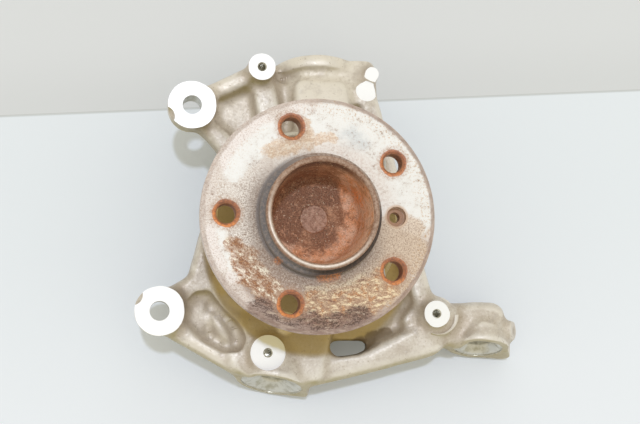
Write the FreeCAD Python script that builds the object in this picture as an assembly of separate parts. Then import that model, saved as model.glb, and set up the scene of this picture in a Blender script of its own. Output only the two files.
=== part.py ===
import FreeCAD, Part

import math
import os

Vector = FreeCAD.Vector

# Front steering knuckle with a bolted hub and bearing unit, all sizes in millimetres.
# It is modelled about the hub axis: the origin is the middle of the wheel face, x and y lie in
# that face and depths are measured behind it. At the end everything is tipped by the two rest
# angles, so that the assembly lies on its back on a flat surface with z up.

# Rest position on the strut clamp, the lower ball-joint boss and the arm
REST_TILT_ABOUT_X = 7.79
REST_TILT_ABOUT_Y = 2.70

# Hub flange, pilots and cup
FLANGE_RADIUS = 76.5
FLANGE_THICKNESS = 13.0
FLANGE_BEVEL_WIDTH = 2.6
FLANGE_BEVEL_DEPTH = 1.4
DISC_PILOT_RADIUS = 39.5
DISC_PILOT_HEIGHT = 7.5
WHEEL_PILOT_RADIUS = 36.25
WHEEL_PILOT_HEIGHT = 16.0
CUP_MOUTH_RADIUS = 32.6
CUP_FLOOR_RADIUS = 29.0
CUP_FLOOR_DEPTH = 25.0
CUP_CORNER = 6.0
CUP_PAD_RADIUS = 9.0
CUP_PAD_HEIGHT = 0.8
RIM_ROUNDING = 1.7
WHEEL_PILOT_FOOT = 0.8
DISC_PILOT_SLOPE = 0.6
DISC_PILOT_ROUNDING = 1.2
FLANGE_FRONT_ROUNDING = 0.5
FLANGE_BACK_ROUNDING = 1.0

# Wheel-bolt holes and the hole of the disc retaining screw
WHEEL_PCD = 120.0
WHEEL_HOLE_COUNT = 5
WHEEL_HOLE_RADIUS = 6.4
WHEEL_HOLE_START = 36.0
WHEEL_HOLE_BEVEL = 1.4
RETAINER_OFFSET = 50.5
RETAINER_RADIUS = 3.5
RETAINER_HEAD_RADIUS = 6.5
RETAINER_HEAD_DEPTH = 5.5

# Spindle behind the flange
NECK_RADIUS = 45.0
NECK_FILLET = 4.0
SEAL_LAND_RADIUS = 35.0
SEAL_LAND_START = 18.0
SEAL_LAND_END = 24.5
SHOULDER_RADIUS = 33.0
SHOULDER_DEPTH = 45.0
SHOULDER_ROUNDING = 1.0
RING_SEAT_RADIUS = 22.5
ROLLED_LIP_RADIUS = 27.5
ROLLED_LIP_LENGTH = 4.0
ROLLED_LIP_ROUNDING = 2.0
SPINDLE_BORE_RADIUS = 9.0
SPINDLE_BORE_LENGTH = 36.0
SPINDLE_BORE_ROUNDING = 1.0
HOLE_OVERRUN = 6.0

# Rolling bearing
BALL_RADIUS = 6.0
BALLS_PER_ROW = 14
BALL_PITCH_RADIUS = 36.0
RACE_CLEARANCE = 0.12
OUTBOARD_ROW_DEPTH = 33.0
INBOARD_ROW_DEPTH = 61.0
CAGE_WIDTH = 15.0
CAGE_THICKNESS = 3.2
CAGE_POCKET_CLEARANCE = 0.15
OUTER_LAND_RADIUS = 39.0
OUTER_MOUTH_RADIUS = 42.5
BARREL_RADIUS = 48.0
BARREL_ROUNDING = 1.0
BARREL_RELIEF = 2.0
OUTER_RING_FRONT = 19.0
OUTER_RING_BACK = 78.0
INNER_RING_BACK = 76.0
ENCODER_SEAT_RADIUS = 31.5

# Seals and speed encoder
SEAL_SHEET = 1.0
SEAL_CASE_LENGTH = 6.0
SEAL_CASE_INNER_RADIUS = 38.0
SEAL_LIP_GAP = 0.3
SEAL_LIP_LENGTH = 3.0
SEAL_INSET = 0.5
SLINGER_SHEET = 0.8
SLINGER_RADIUS = 41.0
ENCODER_THICKNESS = 1.2
ENCODER_WIDTH = 6.0
ENCODER_SLEEVE_LENGTH = 6.0

# Bearing flange and its bolts
SEAT_DEPTH = 52.0
BEARING_FLANGE_THICKNESS = 12.0
BEARING_BOLT_COUNT = 4
BEARING_BOLT_OFFSET = 58.0
BEARING_BOLT_START = 45.0
BEARING_LOBE_RADIUS = 12.0
LOBE_FRONT_ROUNDING = 1.5
LOBE_BACK_ROUNDING = 0.6
SPIGOT_RADIUS = 46.5
SPIGOT_CLEARANCE = 0.05
BOLT_RADIUS = 6.0
BOLT_ENGAGEMENT = 11.0
BOLT_TIP_CHAMFER = 1.0
BOLT_HOLE_RADIUS = 6.5
BOLT_HEAD_FLATS = 17.0
BOLT_HEAD_HEIGHT = 9.0
BOLT_COLLAR_RADIUS = 11.0
BOLT_COLLAR_HEIGHT = 2.5
BOLT_COLLAR_CLEARANCE = 1.0

# Depths of the casting behind the wheel face
FACE_DEPTH = 66.0
RIB_DEPTH = 70.0
RIB_HEIGHT = 22.0
EAR_RIB_HEIGHT = 13.0
PILLAR_HEIGHT = 31.0
ARM_HEIGHT = 34.0
WEB_RECESS = 8.0
WEB_THICKNESS = 8.0
RIB_BACK = RIB_DEPTH + RIB_HEIGHT
PILLAR_BACK = RIB_DEPTH + PILLAR_HEIGHT
ARM_BACK = RIB_DEPTH + ARM_HEIGHT
WEB_DEPTH = RIB_DEPTH + WEB_RECESS
EAR_THICKNESS = 17.0
CAST_ROUNDING = 5.0
BEAM_ROUNDING = 7.0
EDGE_BREAK = 2.0

# Hub carrier ring of the casting
CARRIER_RADIUS = 66.0
CARRIER_BOSS_RADIUS = 13.5
CARRIER_LIP_RADIUS = 42.0
CARRIER_LIP_THICKNESS = 8.0
FLANGE_CLEARANCE = 4.0

# Caliper ears, at x, y
UPPER_EAR = (-79.7, 83.7)
LOWER_EAR = (-99.5, -60.1)
EAR_RADIUS = 17.0
EAR_HOLE_RADIUS = 6.75

# Bosses for the brake shield, at x, y
SHIELD_TOP = (-30.8, 113.0)
SHIELD_TOP_RADIUS = 10.0
SHIELD_BOTTOM = (-25.1, -88.3)
SHIELD_BOTTOM_RADIUS = 11.75
SHIELD_RIGHT = (95.1, -60.7)
SHIELD_RIGHT_RADIUS = 9.3
SHIELD_PEDESTAL = (96.2, -62.3)
SHIELD_PEDESTAL_RADIUS = 14.4
SHIELD_LIP_WIDTH = 3.2
SHIELD_LIP_HEIGHT = 2.0
SHIELD_HOLE_RADIUS = 2.5
SHIELD_HOLE_DEPTH = 16.0
SPOT_FACE_REACH = 20.0

# Ribs, beam and arm: x, y and radius of the round at each end
UPPER_RIB = ((-73.7, 89.7, 6.5), (-33.8, 110.0, 7.0))
INNER_RIB = ((-71.7, 73.7, 5.5), (-50.0, 52.0, 8.5))
LIMB_TOP_RIB = ((-91.5, -50.6, 6.5), (-71.0, -40.0, 9.0))
LIMB_LOWER = ((-71.0, -42.0, 10.5), (-55.0, 10.0, 13.0))
LIMB_UPPER = ((-55.0, 10.0, 13.0), (-49.0, 46.0, 11.0))
LOWER_RIB = ((-92.3, -71.3, 6.2), (-46.0, -97.2, 6.4))
PILLAR_RIB = ((-30.0, 104.0, 9.0), (-22.0, 70.0, 10.0))
PILLAR_FOOT = ((-29.8, 109.0, 11.0), (-12.0, 88.0, 12.0))
BEAM_LEFT = ((4.0, -101.5, 11.0), (48.0, -93.5, 9.0))
BEAM_RIGHT = ((48.0, -93.5, 9.0), (90.0, -78.0, 13.5))
BEAM_HEAD = ((78.0, -66.0, 7.0), (90.0, -70.0, 10.0), (90.0, -52.0, 8.0))
RIGHT_RIB = ((88.0, -55.0, 8.0), (46.5, 94.0, 8.0))
ARM = ((97.0, -67.7, 14.5), (134.0, -76.0, 14.0), (139.0, -62.0, 10.0))
LOWER_CARRIER = ((-44.0, -93.0, 9.0), (-26.0, -101.0, 10.0), (6.0, -99.0, 11.0),
                 (11.0, -60.0, 12.0), (-54.0, -45.0, 12.0))
POCKET_SLOPE = ((-65.0, -58.0, 6.0), (-54.0, -78.0, 8.0))

# Webs between the ribs
MAIN_WEB = ((-66.0, -52.0, 8.0), (20.0, -72.0, 8.0), (64.0, -72.0, 8.0), (88.0, -56.0, 8.0),
            (50.0, 84.0, 8.0), (-28.0, 100.0, 8.0), (-50.0, 50.0, 8.0))
UPPER_WEB = ((-79.7, 83.7, 10.0), (-48.0, 55.0, 8.0), (-16.0, 88.0, 8.0), (-34.0, 104.0, 8.0))
LOWER_WEB = ((-99.5, -60.1, 12.0), (-48.0, -90.0, 8.0), (-38.0, -60.0, 8.0), (-70.0, -40.0, 8.0))

# Opening between the carrier ring and the beam: x, y and radius of each corner
WINDOW = ((20.0, -92.0, 1.5), (29.0, -91.0, 4.0), (41.0, -89.5, 8.0), (54.0, -83.0, 4.0),
          (66.0, -79.5, 1.5), (50.0, -80.5, 4.0), (36.0, -80.5, 8.0), (26.0, -85.0, 4.0))

# Strut clamp: a split collar about the strut axis, hung from the middle of its top end
STRUT_TOP = Vector(13.0, 117.5, -107.5)
STRUT_LEAN = 15.7
STRUT_BORE_RADIUS = 24.0
STRUT_BORE_DEPTH = 50.0
COLLAR_RADIUS = 30.5
COLLAR_LENGTH = 60.0
COLLAR_BEAD_RADIUS = 36.0
COLLAR_BEAD_HEIGHT = 10.0
BEAD_ROUNDING = 4.0
BEAD_FOOT = 3.0
CLAMP_SLOT = 4.5
CLAMP_EAR_REACH = 41.5
CLAMP_EAR_HEIGHT = 36.0
CLAMP_EAR_FRONT = 29.0
CLAMP_EAR_BACK = 23.0
CLAMP_EAR_WALL = 12.0
CLAMP_EAR_ROUNDING = 5.0
PINCH_HOLE_RADIUS = 5.25
PINCH_SIDE = 32.6
PINCH_DROP = 19.0
PANEL_LEFT = -21.0
PANEL_RIGHT = 20.0
PANEL_PROUD = 34.0
PANEL_DROP = 20.0
PANEL_CORNER = 9.0
LOW_NUB = (45.8, 99.6)
LOW_NUB_RADIUS = 6.35
LOW_NUB_DEPTH = 72.0
HIGH_NUB = (50.9, 113.3)
HIGH_NUB_RADIUS = 5.0
HIGH_NUB_DEPTH = 74.0
NUB_BACK = 96.0

# Ball-joint bosses: middle of the machined face and outward axis
LOWER_JOINT = Vector(-20.6, -111.2, -85.0)
LOWER_JOINT_AXIS = Vector(-0.19, -0.95, 0.27)
LOWER_JOINT_RADIUS = 26.0
LOWER_JOINT_TOP_RADIUS = 23.0
LOWER_JOINT_LENGTH = 36.0
LOWER_JOINT_SEAT_RADIUS = 21.5
LOWER_JOINT_HEEL = (24.0, 12.5, 5.5)
ARM_JOINT = Vector(131.0, -85.8, -85.0)
ARM_JOINT_AXIS = Vector(-0.08, -0.95, 0.29)
ARM_JOINT_RADIUS = 23.0
ARM_JOINT_TOP_RADIUS = 17.0
ARM_JOINT_LENGTH = 31.0
ARM_JOINT_SEAT_RADIUS = 17.3
ARM_JOINT_HEEL = (23.5, 15.0, 6.0)
JOINT_HEEL_HEIGHT = 14.0
JOINT_ROUNDING = 1.5
JOINT_BORE_RADIUS = 9.5
JOINT_BORE_TAPER = 2.5
JOINT_RIM_WIDTH = 2.5
JOINT_SEAT_DEPTH = 5.0
JOINT_SEAT_STEP = 1.0
TIP_PAD = Vector(140.0, -72.5, -90.0)
TIP_PAD_AXIS = Vector(0.8, 0, 0.6)
TIP_PAD_RADIUS = 7.5
TIP_PAD_LENGTH = 20.0


def rounded_wire(points):
    """A closed wire through (u, v) or (u, v, corner radius) points in the x-y plane."""
    ends = []
    count = len(points)
    for index, point in enumerate(points):
        corner = Vector(point[0], point[1], 0)
        before = Vector(*points[index - 1][:2], 0) - corner
        after = Vector(*points[(index + 1) % count][:2], 0) - corner
        before.normalize()
        after.normalize()
        radius = point[2] if len(point) > 2 else 0
        if radius <= 0:
            ends.append((corner, None, corner))
            continue
        half = before.getAngle(after) / 2
        inward = before + after
        inward.normalize()
        reach = radius / math.tan(half)
        middle = corner + inward * (radius / math.sin(half) - radius)
        ends.append((corner + before * reach, middle, corner + after * reach))
    edges = []
    for index, (start, middle, end) in enumerate(ends):
        if middle is not None:
            edges.append(Part.Arc(start, middle, end).toShape())
        following = ends[(index + 1) % count][0]
        if (following - end).Length > 1e-6:
            edges.append(Part.makeLine(end, following))
    return Part.Wire(edges)


def turned(points):
    """A solid of revolution about z from (radius, z) or (radius, z, corner radius) points."""
    face = Part.Face(rounded_wire(points))
    face.rotate(Vector(0, 0, 0), Vector(1, 0, 0), 90)
    return face.revolve(Vector(0, 0, 0), Vector(0, 0, 1), 360)


def belt(circles):
    """The outline of a belt laid around (x, y, radius) circles, which are in anticlockwise order."""
    tangents = []
    count = len(circles)
    for index, (x0, y0, r0) in enumerate(circles):
        x1, y1, r1 = circles[(index + 1) % count]
        run = Vector(x1 - x0, y1 - y0, 0)
        lean = (r0 - r1) / run.Length
        run.normalize()
        outward = Vector(run.y, -run.x, 0)
        tangents.append(run * lean + outward * math.sqrt(1 - lean * lean))
    edges = []
    for index, (x, y, radius) in enumerate(circles):
        centre = Vector(x, y, 0)
        arriving = tangents[index - 1]
        leaving = tangents[index]
        start = math.atan2(arriving.y, arriving.x)
        sweep = (math.atan2(leaving.y, leaving.x) - start) % (2 * math.pi)
        middle = Vector(math.cos(start + sweep / 2), math.sin(start + sweep / 2), 0)
        edges.append(Part.Arc(centre + arriving * radius, centre + middle * radius,
                              centre + leaving * radius).toShape())
        x1, y1, r1 = circles[(index + 1) % count]
        edges.append(Part.makeLine(centre + leaving * radius, Vector(x1, y1, 0) + leaving * r1))
    return Part.Wire(edges)


def edges_at_depth(shape, depth):
    """The edges of a shape that lie in the plane at one depth behind the wheel face."""
    return [edge for edge in shape.Edges
            if all(abs(vertex.Z + depth) < 1e-6 for vertex in edge.Vertexes)]


def slab(circles, front, back, front_rounding=CAST_ROUNDING, back_rounding=CAST_ROUNDING / 2):
    """A plate between two depths with a belt outline and rounded edges."""
    face = Part.Face(belt(circles))
    face.translate(Vector(0, 0, -back))
    plate = face.extrude(Vector(0, 0, back - front))
    plate = plate.makeFillet(front_rounding, edges_at_depth(plate, front))
    return plate.makeFillet(back_rounding, edges_at_depth(plate, back))


def post(place, radius, front, back):
    """A round post between two depths at (x, y)."""
    return Part.makeCylinder(radius, back - front, Vector(place[0], place[1], -back))


def soft_post(place, radius, front, back, rounding):
    """A round post whose front edge is rounded."""
    body = post(place, radius, front, back)
    return body.makeFillet(rounding, edges_at_depth(body, front))


def around(centre, direction):
    """The placement that stands a shape made along z at a point, along a direction."""
    return FreeCAD.Placement(centre, FreeCAD.Rotation(Vector(0, 0, 1), direction))


def placed(shape, placement):
    """A copy of a shape with a placement applied to it."""
    moved = shape.copy()
    moved.Placement = placement.multiply(moved.Placement)
    return moved


def joined(shapes):
    """One solid from shapes that meet."""
    return shapes[0].fuse(shapes[1:]).removeSplitter()


def polar(offset, degrees):
    """The (x, y) place at a distance from the hub axis, at an angle."""
    return (offset * math.cos(math.radians(degrees)), offset * math.sin(math.radians(degrees)))


def bearing_bolt_places():
    """The (x, y) places of the bearing bolts."""
    step = 360.0 / BEARING_BOLT_COUNT
    return [polar(BEARING_BOLT_OFFSET, BEARING_BOLT_START + step * index)
            for index in range(BEARING_BOLT_COUNT)]


def race(depth):
    """The ring that a ball row sweeps, with its running clearance."""
    return Part.makeTorus(BALL_PITCH_RADIUS, BALL_RADIUS + RACE_CLEARANCE, Vector(0, 0, -depth))


def ball_places(depth):
    """The centres of the balls in the row at one depth."""
    places = []
    for index in range(BALLS_PER_ROW):
        x, y = polar(BALL_PITCH_RADIUS, 360.0 / BALLS_PER_ROW * index)
        places.append(Vector(x, y, -depth))
    return places


# Hub

def hub_flange():
    """Flange, pilots, cup and spindle: one steel forging."""
    lip_back = INNER_RING_BACK + ROLLED_LIP_LENGTH
    bore_end = lip_back - SPINDLE_BORE_LENGTH
    body = turned([
        (0, -CUP_FLOOR_DEPTH + CUP_PAD_HEIGHT),
        (CUP_PAD_RADIUS, -CUP_FLOOR_DEPTH + CUP_PAD_HEIGHT),
        (CUP_PAD_RADIUS + CUP_PAD_HEIGHT, -CUP_FLOOR_DEPTH),
        (CUP_FLOOR_RADIUS, -CUP_FLOOR_DEPTH, CUP_CORNER),
        (CUP_MOUTH_RADIUS, WHEEL_PILOT_HEIGHT, RIM_ROUNDING),
        (WHEEL_PILOT_RADIUS, WHEEL_PILOT_HEIGHT, RIM_ROUNDING),
        (WHEEL_PILOT_RADIUS, DISC_PILOT_HEIGHT, WHEEL_PILOT_FOOT),
        (DISC_PILOT_RADIUS, DISC_PILOT_HEIGHT - DISC_PILOT_SLOPE, DISC_PILOT_ROUNDING),
        (DISC_PILOT_RADIUS, 0),
        (FLANGE_RADIUS - FLANGE_BEVEL_WIDTH, 0),
        (FLANGE_RADIUS, -FLANGE_BEVEL_DEPTH, FLANGE_FRONT_ROUNDING),
        (FLANGE_RADIUS, -FLANGE_THICKNESS, FLANGE_BACK_ROUNDING),
        (NECK_RADIUS, -FLANGE_THICKNESS, NECK_FILLET),
        (SEAL_LAND_RADIUS, -SEAL_LAND_START),
        (SEAL_LAND_RADIUS, -SEAL_LAND_END),
        (SHOULDER_RADIUS, -SEAL_LAND_END),
        (SHOULDER_RADIUS, -SHOULDER_DEPTH),
        (RING_SEAT_RADIUS, -SHOULDER_DEPTH),
        (RING_SEAT_RADIUS, -INNER_RING_BACK),
        (ROLLED_LIP_RADIUS, -INNER_RING_BACK),
        (ROLLED_LIP_RADIUS, -lip_back, ROLLED_LIP_ROUNDING),
        (SPINDLE_BORE_RADIUS, -lip_back, SPINDLE_BORE_ROUNDING),
        (SPINDLE_BORE_RADIUS, -bore_end),
        (0, -bore_end + SPINDLE_BORE_RADIUS / 2),
    ])
    tools = [race(OUTBOARD_ROW_DEPTH)]
    for index in range(WHEEL_HOLE_COUNT):
        place = polar(WHEEL_PCD / 2, WHEEL_HOLE_START + 360.0 / WHEEL_HOLE_COUNT * index)
        tools.append(post(place, WHEEL_HOLE_RADIUS, -HOLE_OVERRUN, FLANGE_THICKNESS + HOLE_OVERRUN))
        tools.append(Part.makeCone(WHEEL_HOLE_RADIUS, WHEEL_HOLE_RADIUS + 2 * WHEEL_HOLE_BEVEL,
                                   2 * WHEEL_HOLE_BEVEL, Vector(place[0], place[1], -WHEEL_HOLE_BEVEL)))
    retainer = (RETAINER_OFFSET, 0)
    tools.append(post(retainer, RETAINER_RADIUS, -HOLE_OVERRUN, FLANGE_THICKNESS + HOLE_OVERRUN))
    tools.append(post(retainer, RETAINER_HEAD_RADIUS, -HOLE_OVERRUN, RETAINER_HEAD_DEPTH))
    return body.cut(tools)


def inner_ring():
    """Separate raceway of the inboard row, pushed on the spindle and held by its rolled end."""
    front = SHOULDER_DEPTH
    step = INBOARD_ROW_DEPTH + CAGE_WIDTH / 2
    body = turned([
        (RING_SEAT_RADIUS, -front),
        (SHOULDER_RADIUS, -front, SHOULDER_ROUNDING),
        (SHOULDER_RADIUS, -step),
        (ENCODER_SEAT_RADIUS, -step),
        (ENCODER_SEAT_RADIUS, -INNER_RING_BACK),
        (RING_SEAT_RADIUS, -INNER_RING_BACK),
    ])
    return body.cut(race(INBOARD_ROW_DEPTH))


def encoder_carrier():
    """Pressed steel ring on the inner ring that carries the encoder."""
    back = INNER_RING_BACK
    wall = ENCODER_SEAT_RADIUS + SEAL_SHEET
    return turned([
        (ENCODER_SEAT_RADIUS, -back + ENCODER_SLEEVE_LENGTH),
        (wall, -back + ENCODER_SLEEVE_LENGTH),
        (wall, -back + SEAL_SHEET),
        (wall + ENCODER_WIDTH, -back + SEAL_SHEET),
        (wall + ENCODER_WIDTH, -back),
        (ENCODER_SEAT_RADIUS, -back),
    ])


def encoder_ring():
    """Magnetised rubber ring on the back of the carrier."""
    back = INNER_RING_BACK
    inner = ENCODER_SEAT_RADIUS + SEAL_SHEET
    return turned([
        (inner, -back),
        (inner + ENCODER_WIDTH, -back),
        (inner + ENCODER_WIDTH, -back - ENCODER_THICKNESS),
        (inner, -back - ENCODER_THICKNESS),
    ])


# Bearing

def ball_cage(depth):
    """Ring with one round pocket for each ball of a row."""
    middle = BALL_PITCH_RADIUS
    half = CAGE_THICKNESS / 2
    ring = turned([
        (middle - half, -depth + CAGE_WIDTH / 2),
        (middle + half, -depth + CAGE_WIDTH / 2),
        (middle + half, -depth - CAGE_WIDTH / 2),
        (middle - half, -depth - CAGE_WIDTH / 2),
    ])
    return ring.cut([Part.makeSphere(BALL_RADIUS + CAGE_POCKET_CLEARANCE, place)
                     for place in ball_places(depth)])


def ball_row(depth):
    """The balls of a row, as separate solids."""
    return Part.Compound([Part.makeSphere(BALL_RADIUS, place) for place in ball_places(depth)])


def bearing_outer_ring():
    """Outer ring with both raceways, the four-lobed flange and the spigot."""
    flange_front = SEAT_DEPTH - BEARING_FLANGE_THICKNESS
    body = turned([
        (OUTER_MOUTH_RADIUS, -OUTER_RING_FRONT),
        (BARREL_RADIUS, -OUTER_RING_FRONT, BARREL_ROUNDING),
        (BARREL_RADIUS, -SEAT_DEPTH + BARREL_RELIEF),
        (SPIGOT_RADIUS, -SEAT_DEPTH),
        (SPIGOT_RADIUS, -OUTER_RING_BACK, BARREL_ROUNDING),
        (OUTER_MOUTH_RADIUS, -OUTER_RING_BACK),
        (OUTER_MOUTH_RADIUS, -INBOARD_ROW_DEPTH),
        (OUTER_LAND_RADIUS, -INBOARD_ROW_DEPTH),
        (OUTER_LAND_RADIUS, -OUTBOARD_ROW_DEPTH),
        (OUTER_MOUTH_RADIUS, -OUTBOARD_ROW_DEPTH),
    ])
    lobes = []
    for x, y in bearing_bolt_places():
        lobes.append(slab([(0, 0, SPIGOT_RADIUS), (x, y, BEARING_LOBE_RADIUS)],
                          flange_front, SEAT_DEPTH, LOBE_FRONT_ROUNDING, LOBE_BACK_ROUNDING))
    core = Part.makeCylinder(OUTER_MOUTH_RADIUS + BARREL_ROUNDING, SEAT_DEPTH, Vector(0, 0, -SEAT_DEPTH))
    flange = joined(lobes).cut(core)
    tools = [post(place, BOLT_RADIUS, flange_front - BARREL_ROUNDING, SEAT_DEPTH + BARREL_ROUNDING)
             for place in bearing_bolt_places()]
    tools += [race(OUTBOARD_ROW_DEPTH), race(INBOARD_ROW_DEPTH)]
    return body.fuse(flange).removeSplitter().cut(tools)


def bearing_bolt(place):
    """Flanged hexagon bolt, put in from the back of the casting."""
    head_depth = RIB_BACK
    tip = SEAT_DEPTH - BOLT_ENGAGEMENT
    corner = BOLT_HEAD_FLATS / math.sqrt(3)
    hexagon = []
    for index in range(7):
        x, y = polar(corner, 60.0 * index)
        hexagon.append(Vector(place[0] + x, place[1] + y, -head_depth - BOLT_COLLAR_HEIGHT))
    head = Part.Face(Part.makePolygon(hexagon)).extrude(
        Vector(0, 0, BOLT_COLLAR_HEIGHT - BOLT_HEAD_HEIGHT))
    collar = post(place, BOLT_COLLAR_RADIUS, head_depth, head_depth + BOLT_COLLAR_HEIGHT)
    shank = post(place, BOLT_RADIUS, tip, head_depth)
    shank = shank.makeChamfer(BOLT_TIP_CHAMFER, edges_at_depth(shank, tip))
    return joined([shank, collar, head])


def outboard_slinger():
    """Thin steel ring on the hub that the outboard seal runs against."""
    sleeve = SEAL_LAND_RADIUS + SLINGER_SHEET
    return turned([
        (SEAL_LAND_RADIUS, -SEAL_LAND_START),
        (SLINGER_RADIUS, -SEAL_LAND_START),
        (SLINGER_RADIUS, -SEAL_LAND_START - SLINGER_SHEET),
        (sleeve, -SEAL_LAND_START - SLINGER_SHEET),
        (sleeve, -SEAL_LAND_END),
        (SEAL_LAND_RADIUS, -SEAL_LAND_END),
    ])


def outboard_seal_case():
    """Pressed steel case in the outboard mouth of the outer ring."""
    front = OUTER_RING_FRONT + SEAL_INSET
    inner = OUTER_MOUTH_RADIUS - SEAL_SHEET
    return turned([
        (SEAL_CASE_INNER_RADIUS, -front),
        (OUTER_MOUTH_RADIUS, -front),
        (OUTER_MOUTH_RADIUS, -front - SEAL_CASE_LENGTH),
        (inner, -front - SEAL_CASE_LENGTH),
        (inner, -front - SEAL_SHEET),
        (SEAL_CASE_INNER_RADIUS, -front - SEAL_SHEET),
    ])


def outboard_seal_lip():
    """Rubber lip that runs on the sleeve of the slinger."""
    front = OUTER_RING_FRONT + SEAL_INSET
    inner = SEAL_LAND_RADIUS + SLINGER_SHEET + SEAL_LIP_GAP
    return turned([
        (inner, -front - SEAL_LIP_LENGTH / 2),
        (SEAL_CASE_INNER_RADIUS, -front),
        (SEAL_CASE_INNER_RADIUS, -front - SEAL_SHEET),
        (inner + SEAL_SHEET, -front - SEAL_LIP_LENGTH),
        (inner, -front - SEAL_LIP_LENGTH),
    ])


def inboard_seal_case():
    """Pressed steel case in the inboard mouth of the outer ring."""
    wall = INBOARD_ROW_DEPTH + CAGE_WIDTH / 2 + SEAL_SHEET
    outer = OUTER_MOUTH_RADIUS
    return turned([
        (SEAL_CASE_INNER_RADIUS, -wall),
        (outer, -wall),
        (outer, -wall - SEAL_CASE_LENGTH),
        (outer - SEAL_SHEET, -wall - SEAL_CASE_LENGTH),
        (outer - SEAL_SHEET, -wall - SEAL_SHEET),
        (SEAL_CASE_INNER_RADIUS, -wall - SEAL_SHEET),
    ])


def inboard_seal_lip():
    """Rubber lip that runs on the sleeve of the encoder carrier."""
    wall = INBOARD_ROW_DEPTH + CAGE_WIDTH / 2 + SEAL_SHEET
    inner = ENCODER_SEAT_RADIUS + SEAL_SHEET + SEAL_LIP_GAP
    return turned([
        (inner, -wall - SEAL_LIP_LENGTH / 2),
        (SEAL_CASE_INNER_RADIUS, -wall),
        (SEAL_CASE_INNER_RADIUS, -wall - SEAL_SHEET),
        (inner + SEAL_SHEET, -wall - SEAL_LIP_LENGTH),
        (inner, -wall - SEAL_LIP_LENGTH),
    ])


# Casting

def carrier_ring():
    """Thick ring that the bearing unit is bolted to, with a pad behind each bolt."""
    ring = turned([
        (0, -SEAT_DEPTH),
        (CARRIER_RADIUS, -SEAT_DEPTH, CAST_ROUNDING),
        (CARRIER_RADIUS, -RIB_BACK, CAST_ROUNDING),
        (0, -RIB_BACK),
    ])
    pads = [post(place, CARRIER_BOSS_RADIUS, SEAT_DEPTH, RIB_BACK) for place in bearing_bolt_places()]
    return [ring] + pads


def caliper_arms():
    """Both caliper ears, the ribs that hold them and the limb between them."""
    ear_back = FACE_DEPTH + EAR_THICKNESS
    ear_rib_back = RIB_DEPTH + EAR_RIB_HEIGHT
    return [
        post(UPPER_EAR, EAR_RADIUS, FACE_DEPTH, ear_back),
        post(LOWER_EAR, EAR_RADIUS, FACE_DEPTH, ear_back),
        slab(UPPER_RIB, RIB_DEPTH, ear_rib_back),
        slab(INNER_RIB, RIB_DEPTH, ear_rib_back + EDGE_BREAK),
        slab(LIMB_TOP_RIB, RIB_DEPTH, ear_rib_back + EDGE_BREAK),
        slab(LIMB_LOWER, RIB_DEPTH, RIB_BACK),
        slab(LIMB_UPPER, RIB_DEPTH, RIB_BACK),
        slab(LOWER_RIB, RIB_DEPTH, RIB_BACK),
    ]


def webs():
    """Recessed plates that close the frame of ribs."""
    back = WEB_DEPTH + WEB_THICKNESS
    return [
        slab(MAIN_WEB, WEB_DEPTH, back, EDGE_BREAK, EDGE_BREAK),
        slab(UPPER_WEB, WEB_DEPTH, back, EDGE_BREAK, EDGE_BREAK),
        slab(LOWER_WEB, WEB_DEPTH, back, EDGE_BREAK, EDGE_BREAK),
        slab(POCKET_SLOPE, RIB_DEPTH + EDGE_BREAK, back, CAST_ROUNDING, EDGE_BREAK),
    ]


def shield_bosses():
    """Tall top pillar, bottom spot face and right pedestal with its raised lip."""
    x, y = SHIELD_PEDESTAL
    radius = SHIELD_PEDESTAL_RADIUS
    lip = post(SHIELD_PEDESTAL, radius, RIB_DEPTH - SHIELD_LIP_HEIGHT, RIB_DEPTH)
    lip = lip.cut(post(SHIELD_PEDESTAL, radius - SHIELD_LIP_WIDTH, RIB_DEPTH - radius, RIB_DEPTH + radius))
    lower_right = Part.makeBox(2 * radius, 2 * radius, 2 * radius,
                               Vector(x - radius / 2, y - 2 * radius + 2 * SHIELD_LIP_HEIGHT, -RIB_DEPTH - radius))
    return [
        post(SHIELD_TOP, SHIELD_TOP_RADIUS, FACE_DEPTH, PILLAR_BACK),
        slab(PILLAR_RIB, RIB_DEPTH + EDGE_BREAK, RIB_BACK),
        slab(PILLAR_FOOT, WEB_DEPTH + WEB_THICKNESS, PILLAR_BACK),
        post(SHIELD_BOTTOM, SHIELD_BOTTOM_RADIUS, FACE_DEPTH, RIB_BACK),
        post(SHIELD_RIGHT, SHIELD_RIGHT_RADIUS, FACE_DEPTH, RIB_BACK),
        soft_post(SHIELD_PEDESTAL, radius, RIB_DEPTH, RIB_BACK, EDGE_BREAK),
        lip.common(lower_right),
    ]


def lower_frame():
    """Lower carrier, bottom beam, right rib and the arm with its end pad."""
    return [
        slab(LOWER_CARRIER, FACE_DEPTH + EDGE_BREAK, RIB_BACK, CAST_ROUNDING, EDGE_BREAK),
        slab(BEAM_LEFT, RIB_DEPTH, RIB_BACK, BEAM_ROUNDING),
        slab(BEAM_RIGHT, RIB_DEPTH, RIB_BACK, BEAM_ROUNDING),
        slab(BEAM_HEAD, RIB_DEPTH + EDGE_BREAK, RIB_BACK),
        slab(RIGHT_RIB, RIB_DEPTH, RIB_BACK),
        slab(ARM, RIB_DEPTH + EDGE_BREAK, ARM_BACK, BEAM_ROUNDING, CAST_ROUNDING),
        Part.makeCylinder(TIP_PAD_RADIUS, TIP_PAD_LENGTH, TIP_PAD, TIP_PAD_AXIS),
    ]


def upright_frame(origin, up):
    """Placement with z along a direction, x to the right and y away from the wheel."""
    right = up.cross(Vector(0, 0, 1))
    away = up.cross(right)
    return FreeCAD.Placement(origin, FreeCAD.Rotation(right, away, up, "ZXY"))


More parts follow.
